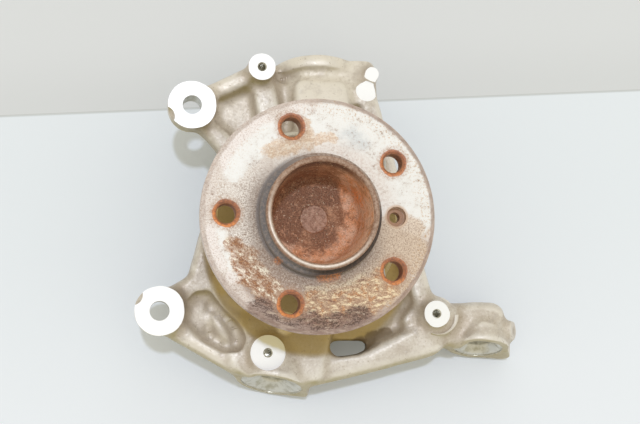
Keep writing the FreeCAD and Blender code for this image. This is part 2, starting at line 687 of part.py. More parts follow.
def joint_boss(radius, top_radius, length, heel):
    """A ball-joint boss standing on its machined face, with a heel on the side away from the wheel."""
    cone = Part.makeCone(radius, top_radius, length)
    cone = cone.makeFillet(JOINT_ROUNDING, [edge for edge in cone.Edges if edge.CenterOfMass.z < 1e-6])
    core = (0, 0, radius - JOINT_ROUNDING)
    foot = Part.Face(belt([core, heel])).extrude(Vector(0, 0, JOINT_HEEL_HEIGHT))
    return [cone, foot]


def joint_bosses():
    """Both ball-joint bosses."""
    lower = joint_boss(LOWER_JOINT_RADIUS, LOWER_JOINT_TOP_RADIUS, LOWER_JOINT_LENGTH, LOWER_JOINT_HEEL)
    arm = joint_boss(ARM_JOINT_RADIUS, ARM_JOINT_TOP_RADIUS, ARM_JOINT_LENGTH, ARM_JOINT_HEEL)
    lower_frame_here = upright_frame(LOWER_JOINT, -LOWER_JOINT_AXIS)
    arm_frame_here = upright_frame(ARM_JOINT, -ARM_JOINT_AXIS)
    return [placed(lump, lower_frame_here) for lump in lower] + [placed(lump, arm_frame_here) for lump in arm]


def joint_tool(face_radius):
    """What a ball-joint seat removes: a shallow dish and a bore through the boss."""
    front = JOINT_HEEL_HEIGHT
    bore_end = 2 * LOWER_JOINT_LENGTH
    return turned([
        (0, front),
        (face_radius, front),
        (face_radius, -JOINT_SEAT_STEP),
        (face_radius - JOINT_RIM_WIDTH, -JOINT_SEAT_STEP),
        (JOINT_BORE_RADIUS, -JOINT_SEAT_STEP - JOINT_SEAT_DEPTH),
        (JOINT_BORE_RADIUS - JOINT_BORE_TAPER, -bore_end),
        (0, -bore_end),
    ])


def strut_axis():
    """Direction of the strut, up and away from the wheel."""
    lean = math.radians(STRUT_LEAN)
    return Vector(0, math.cos(lean), -math.sin(lean))


def strut_frame():
    """Placement at the collar's top with z up the strut axis and y away from the wheel."""
    return upright_frame(STRUT_TOP, strut_axis())


def strut_collar():
    """Collar with a thick bead round its mouth, its clamp ears and the pad on its front."""
    body = turned([
        (0, 0),
        (COLLAR_BEAD_RADIUS, 0, BEAD_ROUNDING),
        (COLLAR_BEAD_RADIUS, -COLLAR_BEAD_HEIGHT, BEAD_ROUNDING),
        (COLLAR_RADIUS, -COLLAR_BEAD_HEIGHT - BEAD_FOOT, BEAD_FOOT),
        (COLLAR_RADIUS, -COLLAR_LENGTH),
        (0, -COLLAR_LENGTH),
    ])
    ears = Part.makeBox(CLAMP_EAR_REACH, CLAMP_EAR_FRONT + CLAMP_EAR_BACK, CLAMP_EAR_HEIGHT,
                        Vector(0, -CLAMP_EAR_FRONT, -CLAMP_EAR_HEIGHT - 1))
    ears = ears.makeFillet(CLAMP_EAR_ROUNDING, [edge for edge in ears.Edges
                                                if edge.CenterOfMass.x > CLAMP_EAR_REACH - 1])
    panel = Part.Face(rounded_wire([
        (PANEL_LEFT, -COLLAR_LENGTH),
        (PANEL_RIGHT, -COLLAR_LENGTH),
        (PANEL_RIGHT, -PANEL_DROP, PANEL_CORNER),
        (PANEL_LEFT, -PANEL_DROP, PANEL_CORNER),
    ]))
    panel.rotate(Vector(0, 0, 0), Vector(1, 0, 0), 90)
    panel = panel.extrude(Vector(0, -PANEL_PROUD, 0))
    panel = panel.makeFillet(CAST_ROUNDING, [edge for edge in panel.Edges
                                             if edge.CenterOfMass.y < -PANEL_PROUD + 1e-6
                                             and edge.CenterOfMass.z > -COLLAR_LENGTH + 1])
    return [placed(lump, strut_frame()) for lump in (body, ears, panel)]


def clamp_nubs():
    """The two small cast nubs on the front of the clamp."""
    return [
        post(LOW_NUB, LOW_NUB_RADIUS, LOW_NUB_DEPTH, NUB_BACK),
        post(HIGH_NUB, HIGH_NUB_RADIUS, HIGH_NUB_DEPTH, NUB_BACK),
    ]


def strut_tools():
    """What the strut clamp removes: the bore, the slot and the pinch-bolt hole."""
    bore = Part.makeCylinder(STRUT_BORE_RADIUS, STRUT_BORE_DEPTH + 5, Vector(0, 0, -STRUT_BORE_DEPTH))
    slot = Part.makeBox(2 * CLAMP_EAR_REACH, CLAMP_SLOT, 2 * CLAMP_EAR_HEIGHT,
                        Vector(0, -CLAMP_SLOT / 2, -STRUT_BORE_DEPTH))
    pinch = Part.makeCylinder(PINCH_HOLE_RADIUS, CLAMP_EAR_FRONT + CLAMP_EAR_BACK,
                              Vector(PINCH_SIDE, CLAMP_EAR_WALL - CLAMP_EAR_FRONT, -PINCH_DROP),
                              Vector(0, 1, 0))
    return [placed(tool, strut_frame()) for tool in (bore, slot, pinch)]


def window():
    """The opening between the carrier ring and the bottom beam."""
    face = Part.Face(rounded_wire(WINDOW))
    face.translate(Vector(0, 0, -ARM_BACK))
    return face.extrude(Vector(0, 0, ARM_BACK - FLANGE_THICKNESS))


def steering_knuckle():
    """The aluminium casting with its machined faces and holes."""
    lumps = carrier_ring() + caliper_arms() + webs() + shield_bosses() + lower_frame()
    lumps += joint_bosses() + strut_collar() + clamp_nubs()
    body = lumps[0].fuse(lumps[1:])
    spigot = SPIGOT_RADIUS + SPIGOT_CLEARANCE
    shoulder = RIB_BACK - CARRIER_LIP_THICKNESS
    far_back = 2 * RIB_BACK
    bore = turned([
        (0, 0),
        (FLANGE_RADIUS + FLANGE_CLEARANCE, 0),
        (FLANGE_RADIUS + FLANGE_CLEARANCE, -SEAT_DEPTH),
        (spigot, -SEAT_DEPTH),
        (spigot, -shoulder),
        (CARRIER_LIP_RADIUS, -shoulder),
        (CARRIER_LIP_RADIUS, -far_back),
        (0, -far_back),
    ])
    tools = [bore, window()] + strut_tools()
    tools.append(post(SHIELD_BOTTOM, SHIELD_BOTTOM_RADIUS, FACE_DEPTH - SPOT_FACE_REACH, FACE_DEPTH))
    tools.append(placed(joint_tool(LOWER_JOINT_SEAT_RADIUS), around(LOWER_JOINT, LOWER_JOINT_AXIS)))
    tools.append(placed(joint_tool(ARM_JOINT_SEAT_RADIUS), around(ARM_JOINT, ARM_JOINT_AXIS)))
    for place in (UPPER_EAR, LOWER_EAR):
        tools.append(post(place, EAR_HOLE_RADIUS, 0, far_back))
    for place in (SHIELD_TOP, SHIELD_BOTTOM, SHIELD_RIGHT):
        tools.append(post(place, SHIELD_HOLE_RADIUS, 0, FACE_DEPTH + SHIELD_HOLE_DEPTH))
    for place in bearing_bolt_places():
        tools.append(post(place, BOLT_HOLE_RADIUS, SEAT_DEPTH - BOLT_RADIUS, RIB_BACK + BOLT_RADIUS))
        tools.append(post(place, BOLT_COLLAR_RADIUS + BOLT_COLLAR_CLEARANCE, RIB_BACK, far_back))
    return body.cut(tools)


def build():
    """Every piece by node name."""
    pieces = {
        "steering_knuckle": steering_knuckle(),
        "bearing_outer_ring": bearing_outer_ring(),
        "outboard_seal_case": outboard_seal_case(),
        "outboard_seal_lip": outboard_seal_lip(),
        "inboard_seal_case": inboard_seal_case(),
        "inboard_seal_lip": inboard_seal_lip(),
        "hub_flange": hub_flange(),
        "outboard_slinger": outboard_slinger(),
        "inner_ring": inner_ring(),
        "encoder_carrier": encoder_carrier(),
        "encoder_ring": encoder_ring(),
        "outboard_cage": ball_cage(OUTBOARD_ROW_DEPTH),
        "outboard_balls": ball_row(OUTBOARD_ROW_DEPTH),
        "inboard_cage": ball_cage(INBOARD_ROW_DEPTH),
        "inboard_balls": ball_row(INBOARD_ROW_DEPTH),
    }
    for index, place in enumerate(bearing_bolt_places(), 1):
        pieces["bearing_bolt_%d" % index] = bearing_bolt(place)
    return pieces


def rest_placement():
    """The turn that lays the finished assembly on its back."""
    about_x = FreeCAD.Rotation(Vector(1, 0, 0), REST_TILT_ABOUT_X)
    about_y = FreeCAD.Rotation(Vector(0, 1, 0), REST_TILT_ABOUT_Y)
    return FreeCAD.Placement(Vector(0, 0, 0), about_y.multiply(about_x))


os.makedirs("parts", exist_ok=True)
for name, shape in build().items():
    finished = placed(shape, rest_placement())
    if not finished.isValid():
        print("not valid:", name)
    finished.exportStep("parts/%s.step" % name)
    print(name, len(finished.Solids), "solids", round(finished.Volume / 1000, 2), "cm3")
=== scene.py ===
"""Wheel hub in its steering knuckle, dressed for rendering."""
import math

import bmesh
import bpy
import numpy as np
from mathutils import Matrix, Vector, noise


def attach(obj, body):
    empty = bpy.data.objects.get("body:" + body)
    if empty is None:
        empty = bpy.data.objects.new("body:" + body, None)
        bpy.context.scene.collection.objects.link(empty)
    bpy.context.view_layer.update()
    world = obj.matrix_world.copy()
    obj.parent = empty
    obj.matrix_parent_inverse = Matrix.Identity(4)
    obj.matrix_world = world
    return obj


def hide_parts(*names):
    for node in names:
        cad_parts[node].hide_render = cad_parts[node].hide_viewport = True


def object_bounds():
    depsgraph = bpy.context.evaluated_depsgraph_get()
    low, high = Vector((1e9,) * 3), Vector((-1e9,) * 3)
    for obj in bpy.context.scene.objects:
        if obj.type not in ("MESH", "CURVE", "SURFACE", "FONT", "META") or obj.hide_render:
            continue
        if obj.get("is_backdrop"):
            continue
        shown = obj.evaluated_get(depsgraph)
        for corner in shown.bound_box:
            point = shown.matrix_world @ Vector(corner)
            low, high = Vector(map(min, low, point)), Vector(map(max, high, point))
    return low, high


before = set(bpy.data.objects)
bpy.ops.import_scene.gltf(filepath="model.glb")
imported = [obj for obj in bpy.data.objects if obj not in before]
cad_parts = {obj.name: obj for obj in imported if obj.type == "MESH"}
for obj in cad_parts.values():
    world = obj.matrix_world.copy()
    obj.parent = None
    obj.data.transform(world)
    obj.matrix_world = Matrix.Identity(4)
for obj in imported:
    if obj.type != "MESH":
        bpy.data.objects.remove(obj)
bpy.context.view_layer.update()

MM = 0.001

# Turn from the hub's own frame (z along the hub axis) to the row frame, in degrees
REST_TILT_ABOUT_X = 7.79
REST_TILT_ABOUT_Y = 2.70
TO_ROW = (Matrix.Rotation(math.radians(REST_TILT_ABOUT_Y), 4, "Y")
          @ Matrix.Rotation(math.radians(REST_TILT_ABOUT_X), 4, "X"))
TO_HUB = TO_ROW.inverted()

# Machined features of the casting in hub-frame millimetres, the same as in the solid
FACE_DEPTH = 66.0
RIB_DEPTH = 70.0
RIB_BACK = 92.0
SEAT_DEPTH = 52.0
SEAT_RADIUS = 80.5
SPIGOT_BORE_RADIUS = 46.55
SPIGOT_BORE_DEPTH = 84.0
CARRIER_BORE_RADIUS = 42.0
BOLT_HOLE_RADIUS = 6.5
BOLT_SPOT_RADIUS = 12.0
UPPER_EAR = (-79.7, 83.7)
LOWER_EAR = (-99.5, -60.1)
EAR_RADIUS = 17.0
EAR_HOLE_RADIUS = 6.75
SHIELD_TOP = (-30.8, 113.0)
SHIELD_BOTTOM = (-25.1, -88.3)
SHIELD_RIGHT = (95.1, -60.7)
SHIELD_RADII = {SHIELD_TOP: 10.0, SHIELD_BOTTOM: 11.75, SHIELD_RIGHT: 9.3}
SHIELD_HOLE_RADIUS = 2.5
SHIELD_HOLE_DEPTH = 16.0
PEDESTAL = (96.2, -62.3)
STRUT_TOP = Vector((13.0, 117.5, -107.5))
STRUT_LEAN = 15.7
STRUT_BORE_RADIUS = 24.0
STRUT_BORE_DEPTH = 50.0
STRUT_SLOT_HALVES = (41.5, 2.25, 36.0)
PINCH_REACH = 32.6
PINCH_DEPTH = 19.0
PINCH_RADIUS = 5.25
LOWER_JOINT = Vector((-20.6, -111.2, -85.0))
LOWER_JOINT_AXIS = Vector((-0.19, -0.95, 0.27)).normalized()
LOWER_JOINT_SEAT = 21.5
ARM_JOINT = Vector((131.0, -85.8, -85.0))
ARM_JOINT_AXIS = Vector((-0.08, -0.95, 0.29)).normalized()
ARM_JOINT_SEAT = 17.3
NUBS = {(45.8, 99.6): (6.35, 72.0), (50.9, 113.3): (5.0, 74.0)}


def circle_places(radius, count, start):
    """Evenly spaced places on a circle, from a start angle in degrees."""
    angles = [math.radians(start + 360 // count * index) for index in range(count)]
    return [(radius * math.cos(angle), radius * math.sin(angle)) for angle in angles]


BOLT_PLACES = circle_places(58, 4, 45)
WHEEL_HOLES = circle_places(60, 5, 36)
# How bright the orange rust on the lit side of each wheel hole's ring is, a painted highlight, from the
# upper right hole round by the left
RING_RUST_HIGHLIGHT = (0.65, 0.35, 1.0, 1.0, 0.75)

# Pocket beside the lower ear: corners in the hub frame, and the depths of its two levels
POCKET = ((-82, -54), (-75, -46.5), (-66, -45.5), (-56, -58), (-45, -68), (-39.5, -78),
          (-43, -87.5), (-55, -88), (-69, -81), (-82, -68))
POCKET_DEEP = ((-67, -50), (-57, -59), (-46, -69), (-41, -78), (-44, -86), (-55, -87), (-68, -79))
POCKET_RIM = ((-91, -70), (-88, -52), (-76, -42), (-56, -45), (-32, -66), (-28, -92), (-46, -96))
POCKET_FLOOR = 76.0
POCKET_BOTTOM = 79.5
BLISTER = Vector((-57.8, -71.0, -82.0))
BLISTER_HALF_SIZES = (15.5, 6.3, 9.0)
BLISTER_TURN = -58.0

# Photograph's camera, fitted in the hub frame: place in millimetres, lengths on the picture in pixels
CAMERA_PLACE = (-112.7, -81.7, 686.1)
CAMERA_RIGHT = (0.9867, 0.0021, 0.1625)
CAMERA_AHEAD = (0.1611, 0.1195, -0.9797)
FOCAL_PIXELS = 1090.0
PICTURE_WIDTH = 640
PICTURE_CENTRE = (320, 212)
SENSOR_WIDTH = 36.0

# Floor: half its size in metres, and the ends of its seam on the picture
FLOOR_REACH = 3
SEAM_LEFT = (0, 116)
SEAM_RIGHT = (640, 90)

# Daylight from the sky and from a sun nearly along the hub axis, given in the hub frame
SKY_COLOUR = (1.0, 0.955, 0.80, 1.0)
SKY_STRENGTH = 0.79
SUN_COLOUR = (0.76, 0.83, 1.0)
SUN_STRENGTH = 0.93
SUN_WIDTH = 3.2
SUN_DIRECTION = (-0.096, 0.228, 1.0)

# Remeshing of the casting, in millimetres, and the angle of its sharp edges in degrees
VOXEL = 1.35
FILLET = 2.6
SHARP_ANGLE = 32

# Waves of the cast skin, as (waves per millimetre, height)
SKIN_WAVES = ((0.11, 0.22), (0.33, 0.10))

# Crescent lip beside the right shield boss: start and sweep in degrees, and the depth of its middle
LIP_START = -112
LIP_SWEEP = 116
LIP_DEPTH = 70.5

# Low corners on the ear faces, as (x, y, size)
EAR_CHIPS = ((-98.7, 74.8, 8.0), (-117.7, -49.6, 7.6))

# Material slots of the casting (0 is the cast skin), and how near to a machined plane or wall a face
# must lie to take its slot
MACHINED = 1
BORED = 2
PLANE_SLACK = 0.05
WALL_SLACK = 0.12

# Middle of the flange's shadow, painted olive on the casting
FLANGE_SHADOW_CENTRE = (6.2, -15.0, 0.0)

# Down the photograph and out of the wheel face, in the scene's axes
DOWN = TO_ROW.to_3x3() @ Vector((0, -1, 0))
OUTBOARD = TO_ROW.to_3x3() @ Vector((0, 0, 1))


# Node materials

class Shader:
    """A material made of nodes, with short calls for the usual ones."""

    def __init__(self, name):
        self.material = bpy.data.materials.new(name)
        self.material.use_nodes = True
        self.nodes = self.material.node_tree.nodes
        self.links = self.material.node_tree.links
        self.bsdf = self.nodes["Principled BSDF"]
        turn = self.add("ShaderNodeMapping")
        turn.inputs["Rotation"].default_value = TO_HUB.to_euler("XYZ")
        turn.inputs["Scale"].default_value = (1 / MM, 1 / MM, 1 / MM)
        self.links.new(self.add("ShaderNodeTexCoord").outputs["Object"], turn.inputs["Vector"])
        self.hub = turn.outputs[0]

    def add(self, kind, **settings):
        """A new node with its settings."""
        node = self.nodes.new(kind)
        for key, value in settings.items():
            setattr(node, key, value)
        return node

    def feed(self, socket, value):
        """Links a socket to an output, or sets its value."""
        if isinstance(value, bpy.types.NodeSocket):
            self.links.new(value, socket)
        elif isinstance(value, tuple) and len(value) == 3 and socket.type == "RGBA":
            socket.default_value = value + (1.0,)
        else:
            socket.default_value = value

    def math(self, operation, a, b=0.0):
        """Result of a math node."""
        node = self.add("ShaderNodeMath", operation=operation)
        self.feed(node.inputs[0], a)
        self.feed(node.inputs[1], b)
        return node.outputs[0]

    def times(self, a, b):
        """Product of two values."""
        return self.math("MULTIPLY", a, b)

    def plus(self, a, b):
        """Sum of two values."""
        return self.math("ADD", a, b)

    def minus(self, a, b):
        """Difference of two values."""
        return self.math("SUBTRACT", a, b)

    def vector(self, operation, a, b=(0.0, 0.0, 0.0)):
        """Result of a vector math node, a number for lengths and dot products."""
        node = self.add("ShaderNodeVectorMath", operation=operation)
        self.feed(node.inputs[0], a)
        self.feed(node.inputs[1], b)
        return node.outputs["Value" if operation in ("LENGTH", "DISTANCE", "DOT_PRODUCT") else "Vector"]

    def split(self, vector):
        """The x, y and z of a vector."""
        node = self.add("ShaderNodeSeparateXYZ")
        self.feed(node.inputs[0], vector)
        return node.outputs

    def join(self, x, y, z):
        """A vector of three values."""
        node = self.add("ShaderNodeCombineXYZ")
        for socket, value in zip(node.inputs, (x, y, z)):
            self.feed(socket, value)
        return node.outputs[0]

    def noise(self, size, detail=4.0, roughness=0.55, vector=None, distortion=0.0):
        """Noise whose blotches are about size millimetres across."""
        node = self.add("ShaderNodeTexNoise")
        self.feed(node.inputs["Vector"], self.hub if vector is None else vector)
        node.inputs["Scale"].default_value = 1.0 / size
        node.inputs["Detail"].default_value = detail
        node.inputs["Roughness"].default_value = roughness
        node.inputs["Distortion"].default_value = distortion
        return node.outputs["Fac"]

    def wander(self, vector, size, reach):
        """A vector moved about by noise, up to about reach millimetres."""
        node = self.add("ShaderNodeTexNoise")
        self.feed(node.inputs["Vector"], vector)
        node.inputs["Scale"].default_value = 1.0 / size
        node.inputs["Detail"].default_value = 3.0
        offset = self.vector("SUBTRACT", node.outputs["Color"], (0.5, 0.5, 0.5))
        return self.vector("ADD", vector, self.vector("MULTIPLY", offset, (2 * reach,) * 3))

    def span(self, value, low, high, to_low=0.0, to_high=1.0):
        """A value mapped smoothly from one range to another, and held at its ends."""
        node = self.add("ShaderNodeMapRange", interpolation_type="SMOOTHSTEP")
        self.feed(node.inputs["Value"], value)
        ends = {"From Min": low, "From Max": high, "To Min": to_low, "To Max": to_high}
        for name, number in ends.items():
            node.inputs[name].default_value = number
        return node.outputs["Result"]

    def mix(self, factor, a, b):
        """The first colour where the factor is zero, the second where it is one."""
        node = self.add("ShaderNodeMix", data_type="RGBA")
        self.feed(node.inputs["Factor"], factor)
        self.feed(node.inputs[6], a)
        self.feed(node.inputs[7], b)
        return node.outputs[2]

    def mottle(self, pattern, low, high, a, b):
        """Two colours in turn, as a pattern goes from low to high."""
        return self.mix(self.span(pattern, low, high), a, b)

    def blobs(self, vector, places):
        """One well inside any of the (x, y, radius) discs, fading to zero at their edges."""
        total = 0.0
        for x, y, radius in places:
            distance = self.vector("DISTANCE", vector, (x, y, 0.0))
            total = self.math("MAXIMUM", total, self.span(distance, radius, radius * 0.45, 0.0, 1.0))
        return total

    def bump(self, height, strength, distance):
        """Normal of a surface raised by a height."""
        node = self.add("ShaderNodeBump")
        node.inputs["Strength"].default_value = strength
        node.inputs["Distance"].default_value = distance
        self.feed(node.inputs["Height"], height)
        return node.outputs[0]

    def finish(self, colour, roughness, metallic=0.0, normal=None):
        """The finished material."""
        self.feed(self.bsdf.inputs["Base Color"], colour)
        self.feed(self.bsdf.inputs["Roughness"], roughness)
        self.feed(self.bsdf.inputs["Metallic"], metallic)
        if normal is not None:
            self.feed(self.bsdf.inputs["Normal"], normal)
        return self.material


def cast_aluminium():
    """Warm casting skin with fine speckle, dust and painted shade in the hollows, and the flange's shadow
    painted olive.
    """
    s = Shader("cast_aluminium")
    x, y, z = s.split(s.hub)
    flat = s.join(x, y, 0.0)
    broad = s.noise(30.0, 5.0, 0.62)
    patch = s.noise(8.0, 6.0, 0.68)
    fine = s.noise(1.7, 4.0, 0.72)
    grain = s.noise(0.75, 2.0, 0.6)
    colour = s.mottle(broad, 0.36, 0.66, (0.56, 0.495, 0.42), (0.72, 0.665, 0.595))
    colour = s.mix(s.span(patch, 0.52, 0.70, 0.0, 0.5), colour, (0.50, 0.455, 0.42))
    colour = s.mix(s.span(fine, 0.52, 0.72, 0.0, 0.6), colour, (0.42, 0.345, 0.26))
    colour = s.mix(s.span(fine, 0.46, 0.34, 0.0, 0.35), colour, (0.86, 0.83, 0.77))

    # Dust and painted shade in the hollows, a painted highlight on the edges, and darker deeper behind the
    # face
    cavity = s.add("ShaderNodeAttribute", attribute_name="cavity").outputs["Fac"]
    cavity = s.plus(cavity, s.times(s.minus(patch, 0.5), 0.35))
    colour = s.mix(s.span(cavity, 0.10, 1.0, 0.0, 0.45), colour, (0.40, 0.315, 0.225))
    colour = s.mix(s.span(cavity, -0.10, -0.65, 0.0, 0.60), colour, (0.92, 0.885, 0.83))
    deep = s.times(s.span(z, -70.0, -77.0), s.span(patch, 0.36, 0.62, 0.10, 0.40))
    colour = s.mix(deep, colour, (0.50, 0.435, 0.36))

    # Painted light on the strut collar, and lighter skin beside the ears
    painted_light = s.blobs(s.wander(flat, 14.0, 4.0),
                    [(8, 100, 26), (22, 104, 24), (-8, 126, 16), (14, 130, 20), (34, 124, 16)])
    colour = s.mix(s.times(painted_light, s.span(patch, 0.66, 0.44, 0.45, 0.95)), colour, (0.83, 0.775, 0.69))
    plain = s.blobs(s.wander(flat, 12.0, 4.0), [(-60, 86, 26), (-62, -74, 26)])
    colour = s.mix(s.times(plain, s.span(patch, 0.66, 0.44, 0.35, 0.75)), colour, (0.80, 0.735, 0.65))

    # Painted olive shade on the faces that look down, and the flange's painted shadow on the casting
    normal = s.add("ShaderNodeNewGeometry").outputs["Normal"]
    facing = s.vector("DOT_PRODUCT", normal, tuple(DOWN))
    shaded = s.times(s.span(facing, 0.30, 0.80), s.span(patch, 0.30, 0.60, 0.9, 0.65))
    colour = s.mix(shaded, colour, (0.40, 0.335, 0.16))
    # The flange's shadow, painted olive on the casting
    flange_shadow = s.span(s.vector("DISTANCE", flat, FLANGE_SHADOW_CENTRE), 77.5, 72.5)
    flange_shadow = s.times(flange_shadow, s.span(broad, 0.30, 0.62, 0.72, 0.92))
    flange_shadow = s.times(flange_shadow, s.span(s.vector("DOT_PRODUCT", normal, tuple(OUTBOARD)), 0.0, 0.6, 0.45, 1.0))
    colour = s.mix(flange_shadow, colour, (0.46, 0.325, 0.105))

    # Painted shade in the hollow above the bottom beam, grime and crumbs
    hollow = s.blobs(s.wander(flat, 8.0, 2.0),
                     [(22, -88, 10), (32, -87, 10), (42, -84, 10), (52, -80, 10), (60, -76, 8)])
    hollow = s.times(s.span(hollow, 0.1, 0.7), s.span(z, -74.5, -78.0, 0.0, 0.85))
    colour = s.mix(hollow, colour, (0.17, 0.115, 0.055))
    grime = s.blobs(s.wander(flat, 12.0, 5.0),
                    [(-76, -46, 22), (-62, -62, 24), (-70, -18, 22), (-62, 62, 24)])
    colour = s.mix(s.times(grime, s.span(patch, 0.3, 0.6, 0.10, 0.45)), colour, (0.40, 0.335, 0.27))
    crumbs = s.times(s.span(s.noise(2.6, 5.0, 0.75), 0.60, 0.68), 0.55)
    colour = s.mix(crumbs, colour, (0.27, 0.19, 0.11))
    height = s.plus(s.times(fine, 0.8), s.times(grain, 0.5))
    return s.finish(colour, s.span(fine, 0.3, 0.7, 0.38, 0.56), 0.42, s.bump(height, 0.40, 0.0005))


def machined_aluminium():
    """Milled face: white with faint cutter marks and a few grey spots."""
    s = Shader("machined_aluminium")
    marks = s.add("ShaderNodeTexWave", wave_type="RINGS", rings_direction="Z")
    s.feed(marks.inputs["Vector"], s.hub)
    marks.inputs["Scale"].default_value = 0.55
    marks.inputs["Distortion"].default_value = 1.2
    spots = s.span(s.noise(4.0, 5.0, 0.72), 0.62, 0.76, 0.0, 0.25)
    colour = s.mix(spots, (0.985, 0.985, 0.985), (0.78, 0.77, 0.75))
    x, y, z = s.split(s.hub)
    # The flange's shadow, painted olive where it falls on the face
    flange_shadow = s.vector("DISTANCE", s.wander(s.join(x, y, 0.0), 5.0, 1.0), FLANGE_SHADOW_CENTRE)
    flange_shadow = s.times(s.span(flange_shadow, 75.5, 73.5), s.span(z, -64.0, -65.0, 0.0, 0.85))
    colour = s.mix(flange_shadow, colour, (0.84, 0.76, 0.47))
    return s.finish(colour, 0.36, 0.15, s.bump(marks.outputs["Fac"], 0.08, 0.0002))


def bored_aluminium():
    """Hole walls: turned aluminium, a little greyer and dirtier."""
    s = Shader("bored_aluminium")
    z = s.split(s.hub)[2]
    rings = s.noise(0.8, 3.0, 0.6, vector=s.join(0.0, 0.0, z))
    colour = s.mottle(s.noise(6.0, 5.0, 0.65), 0.42, 0.7, (0.66, 0.64, 0.57), (0.42, 0.39, 0.29))
    return s.finish(colour, 0.30, 0.75, s.bump(rings, 0.25, 0.0003))


def rusted_hub():
    """Hub face: bright worn steel between mauve and tan rust, with orange rings and a rusty cup."""
    s = Shader("rusted_hub")
    x, y, z = s.split(s.hub)
    flat = s.join(x, y, 0.0)
    radius = s.vector("LENGTH", flat)
    moved = s.wander(s.wander(flat, 26.0, 8.0), 6.0, 2.5)
    sweep = s.join(s.times(s.math("DIVIDE", x, radius), 10.0),
                   s.times(s.math("DIVIDE", y, radius), 10.0), s.times(radius, 0.5))
    streaks = s.noise(1.0, 6.0, 0.70, vector=sweep)
    speck = s.noise(1.9, 5.0, 0.80)
    grit = s.noise(0.9, 3.0, 0.75)
    blotch = s.noise(10.0, 7.0, 0.72)
    dust = s.noise(1.0, 4.0, 0.85)

    def ragged(zone, fine=2.2, coarse=1.0, low=0.36, high=0.64):
        """A soft zone broken up by fine and coarse noise."""
        rough = s.plus(s.times(s.minus(speck, 0.5), fine),
                       s.times(s.minus(blotch, 0.5), coarse))
        return s.span(s.plus(zone, rough), low, high)

    # Mauve ground, lighter to the upper right
    slope = s.plus(s.times(x, 0.5), s.times(y, 0.85))
    ground = s.mottle(slope, -72.0, 14.0, (0.40, 0.295, 0.25), (0.80, 0.71, 0.655))
    colour = s.mix(s.span(blotch, 0.36, 0.66), ground, s.mix(0.38, ground, (0.30, 0.20, 0.165)))
    colour = s.mix(s.span(speck, 0.50, 0.66, 0.0, 0.75), colour, (0.25, 0.145, 0.10))
    colour = s.mix(s.span(speck, 0.46, 0.36, 0.0, 0.6), colour, (0.80, 0.74, 0.70))

    steel = s.mix(s.span(blotch, 0.42, 0.72, 0.0, 0.7), (0.86, 0.85, 0.835), (0.745, 0.705, 0.655))
    steel = s.mix(s.times(s.blobs(moved, [(21.0, 50.0, 14.0)]), s.span(blotch, 0.36, 0.60, 0.1, 0.7)),
                  steel, (0.62, 0.645, 0.665))
    steel = s.mix(s.span(grit, 0.58, 0.72, 0.0, 0.7), steel, (0.60, 0.45, 0.32))
    chalk = s.blobs(moved, [(-66, -10, 12), (-66, -20, 12), (-61, -30, 11)])
    colour = s.mottle(chalk, 0.1, 0.6, colour, (0.93, 0.91, 0.89))
    frost = s.blobs(moved, [(-60, 10, 28), (-50, 20, 24), (-48, -8, 20),
                            (-24, 40, 18), (-70, 0, 24), (-58, 44, 22)])
    colour = s.mix(s.times(s.span(frost, 0.0, 0.6), 0.45), colour, (0.86, 0.79, 0.75))
    colour = s.mix(s.times(frost, s.span(dust, 0.53, 0.43)), colour, (0.95, 0.92, 0.90))
    bright = s.blobs(moved, [(-48, 43, 18), (-57, 31, 14), (-37, 54, 18), (-12, 63, 16), (8, 60, 24),
                             (28, 55, 25), (47, 43, 26), (60, 24, 25), (48, 12, 22), (63, 4, 22),
                             (-66, -10, 11), (-66, -19, 12), (-61, -29, 12), (-54, -39, 9),
                             (34, 32, 20), (6, 46, 13), (20, 42, 13)])
    shine = ragged(bright, 1.7, 0.9, 0.30, 0.72)
    colour = s.mix(shine, colour, steel)
    inner_sheen = s.times(s.span(radius, 56.0, 44.0), s.span(slope, -5.0, 40.0))
    colour = s.mix(s.times(inner_sheen, 0.8), colour,
                   s.mottle(speck, 0.4, 0.65, (0.83, 0.775, 0.73), (0.66, 0.54, 0.47)))

    # Tan bands and speckle
    tan = s.mottle(dust, 0.40, 0.62, (0.80, 0.62, 0.46), (0.56, 0.375, 0.26))
    tan = s.mix(s.span(streaks, 0.50, 0.60, 0.0, 0.75), tan, (0.90, 0.81, 0.70))
    band = s.blobs(s.wander(moved, 3.5, 2.5),
                   [(-33, 40, 9), (-26, 43, 10), (-18, 46, 10), (-9, 49, 9),
                    (0, 50, 7), (7, 51, 5), (-10, 57, 6)])
    colour = s.mix(s.times(ragged(band, 1.0, 2.8, 0.25, 1.05), 0.85), colour, tan)
    lower_right = s.blobs(moved, [(50, -18, 22), (63, -24, 18), (42, -36, 20),
                                  (26, -42, 17), (60, -8, 13), (52, -48, 18)])
    dots = s.times(s.span(lower_right, 0.1, 0.8), s.span(dust, 0.49, 0.62))
    pale = s.times(s.span(lower_right, 0.1, 0.8), s.span(dust, 0.46, 0.36))
    colour = s.mix(s.times(ragged(lower_right, 1.2, 0.8, 0.1, 0.9), 0.75), colour, (0.70, 0.55, 0.42))
    colour = s.mix(s.times(dots, 0.85), colour, (0.30, 0.165, 0.11))
    colour = s.mix(s.times(pale, 0.6), colour, (0.86, 0.78, 0.66))
    rim_specks = s.times(s.span(radius, 60.0, 72.0), s.span(speck, 0.53, 0.60))
    colour = s.mix(s.times(rim_specks, 0.75), colour, (0.60, 0.38, 0.20))

    left_rim = s.times(s.span(s.plus(radius, s.times(s.minus(blotch, 0.5), 9.0)), 65.0, 70.0),
                       s.span(x, 12.0, -24.0, 0.0, 0.8))
    colour = s.mix(left_rim, colour, s.mottle(dust, 0.46, 0.64, (0.88, 0.81, 0.78), (0.52, 0.40, 0.35)))

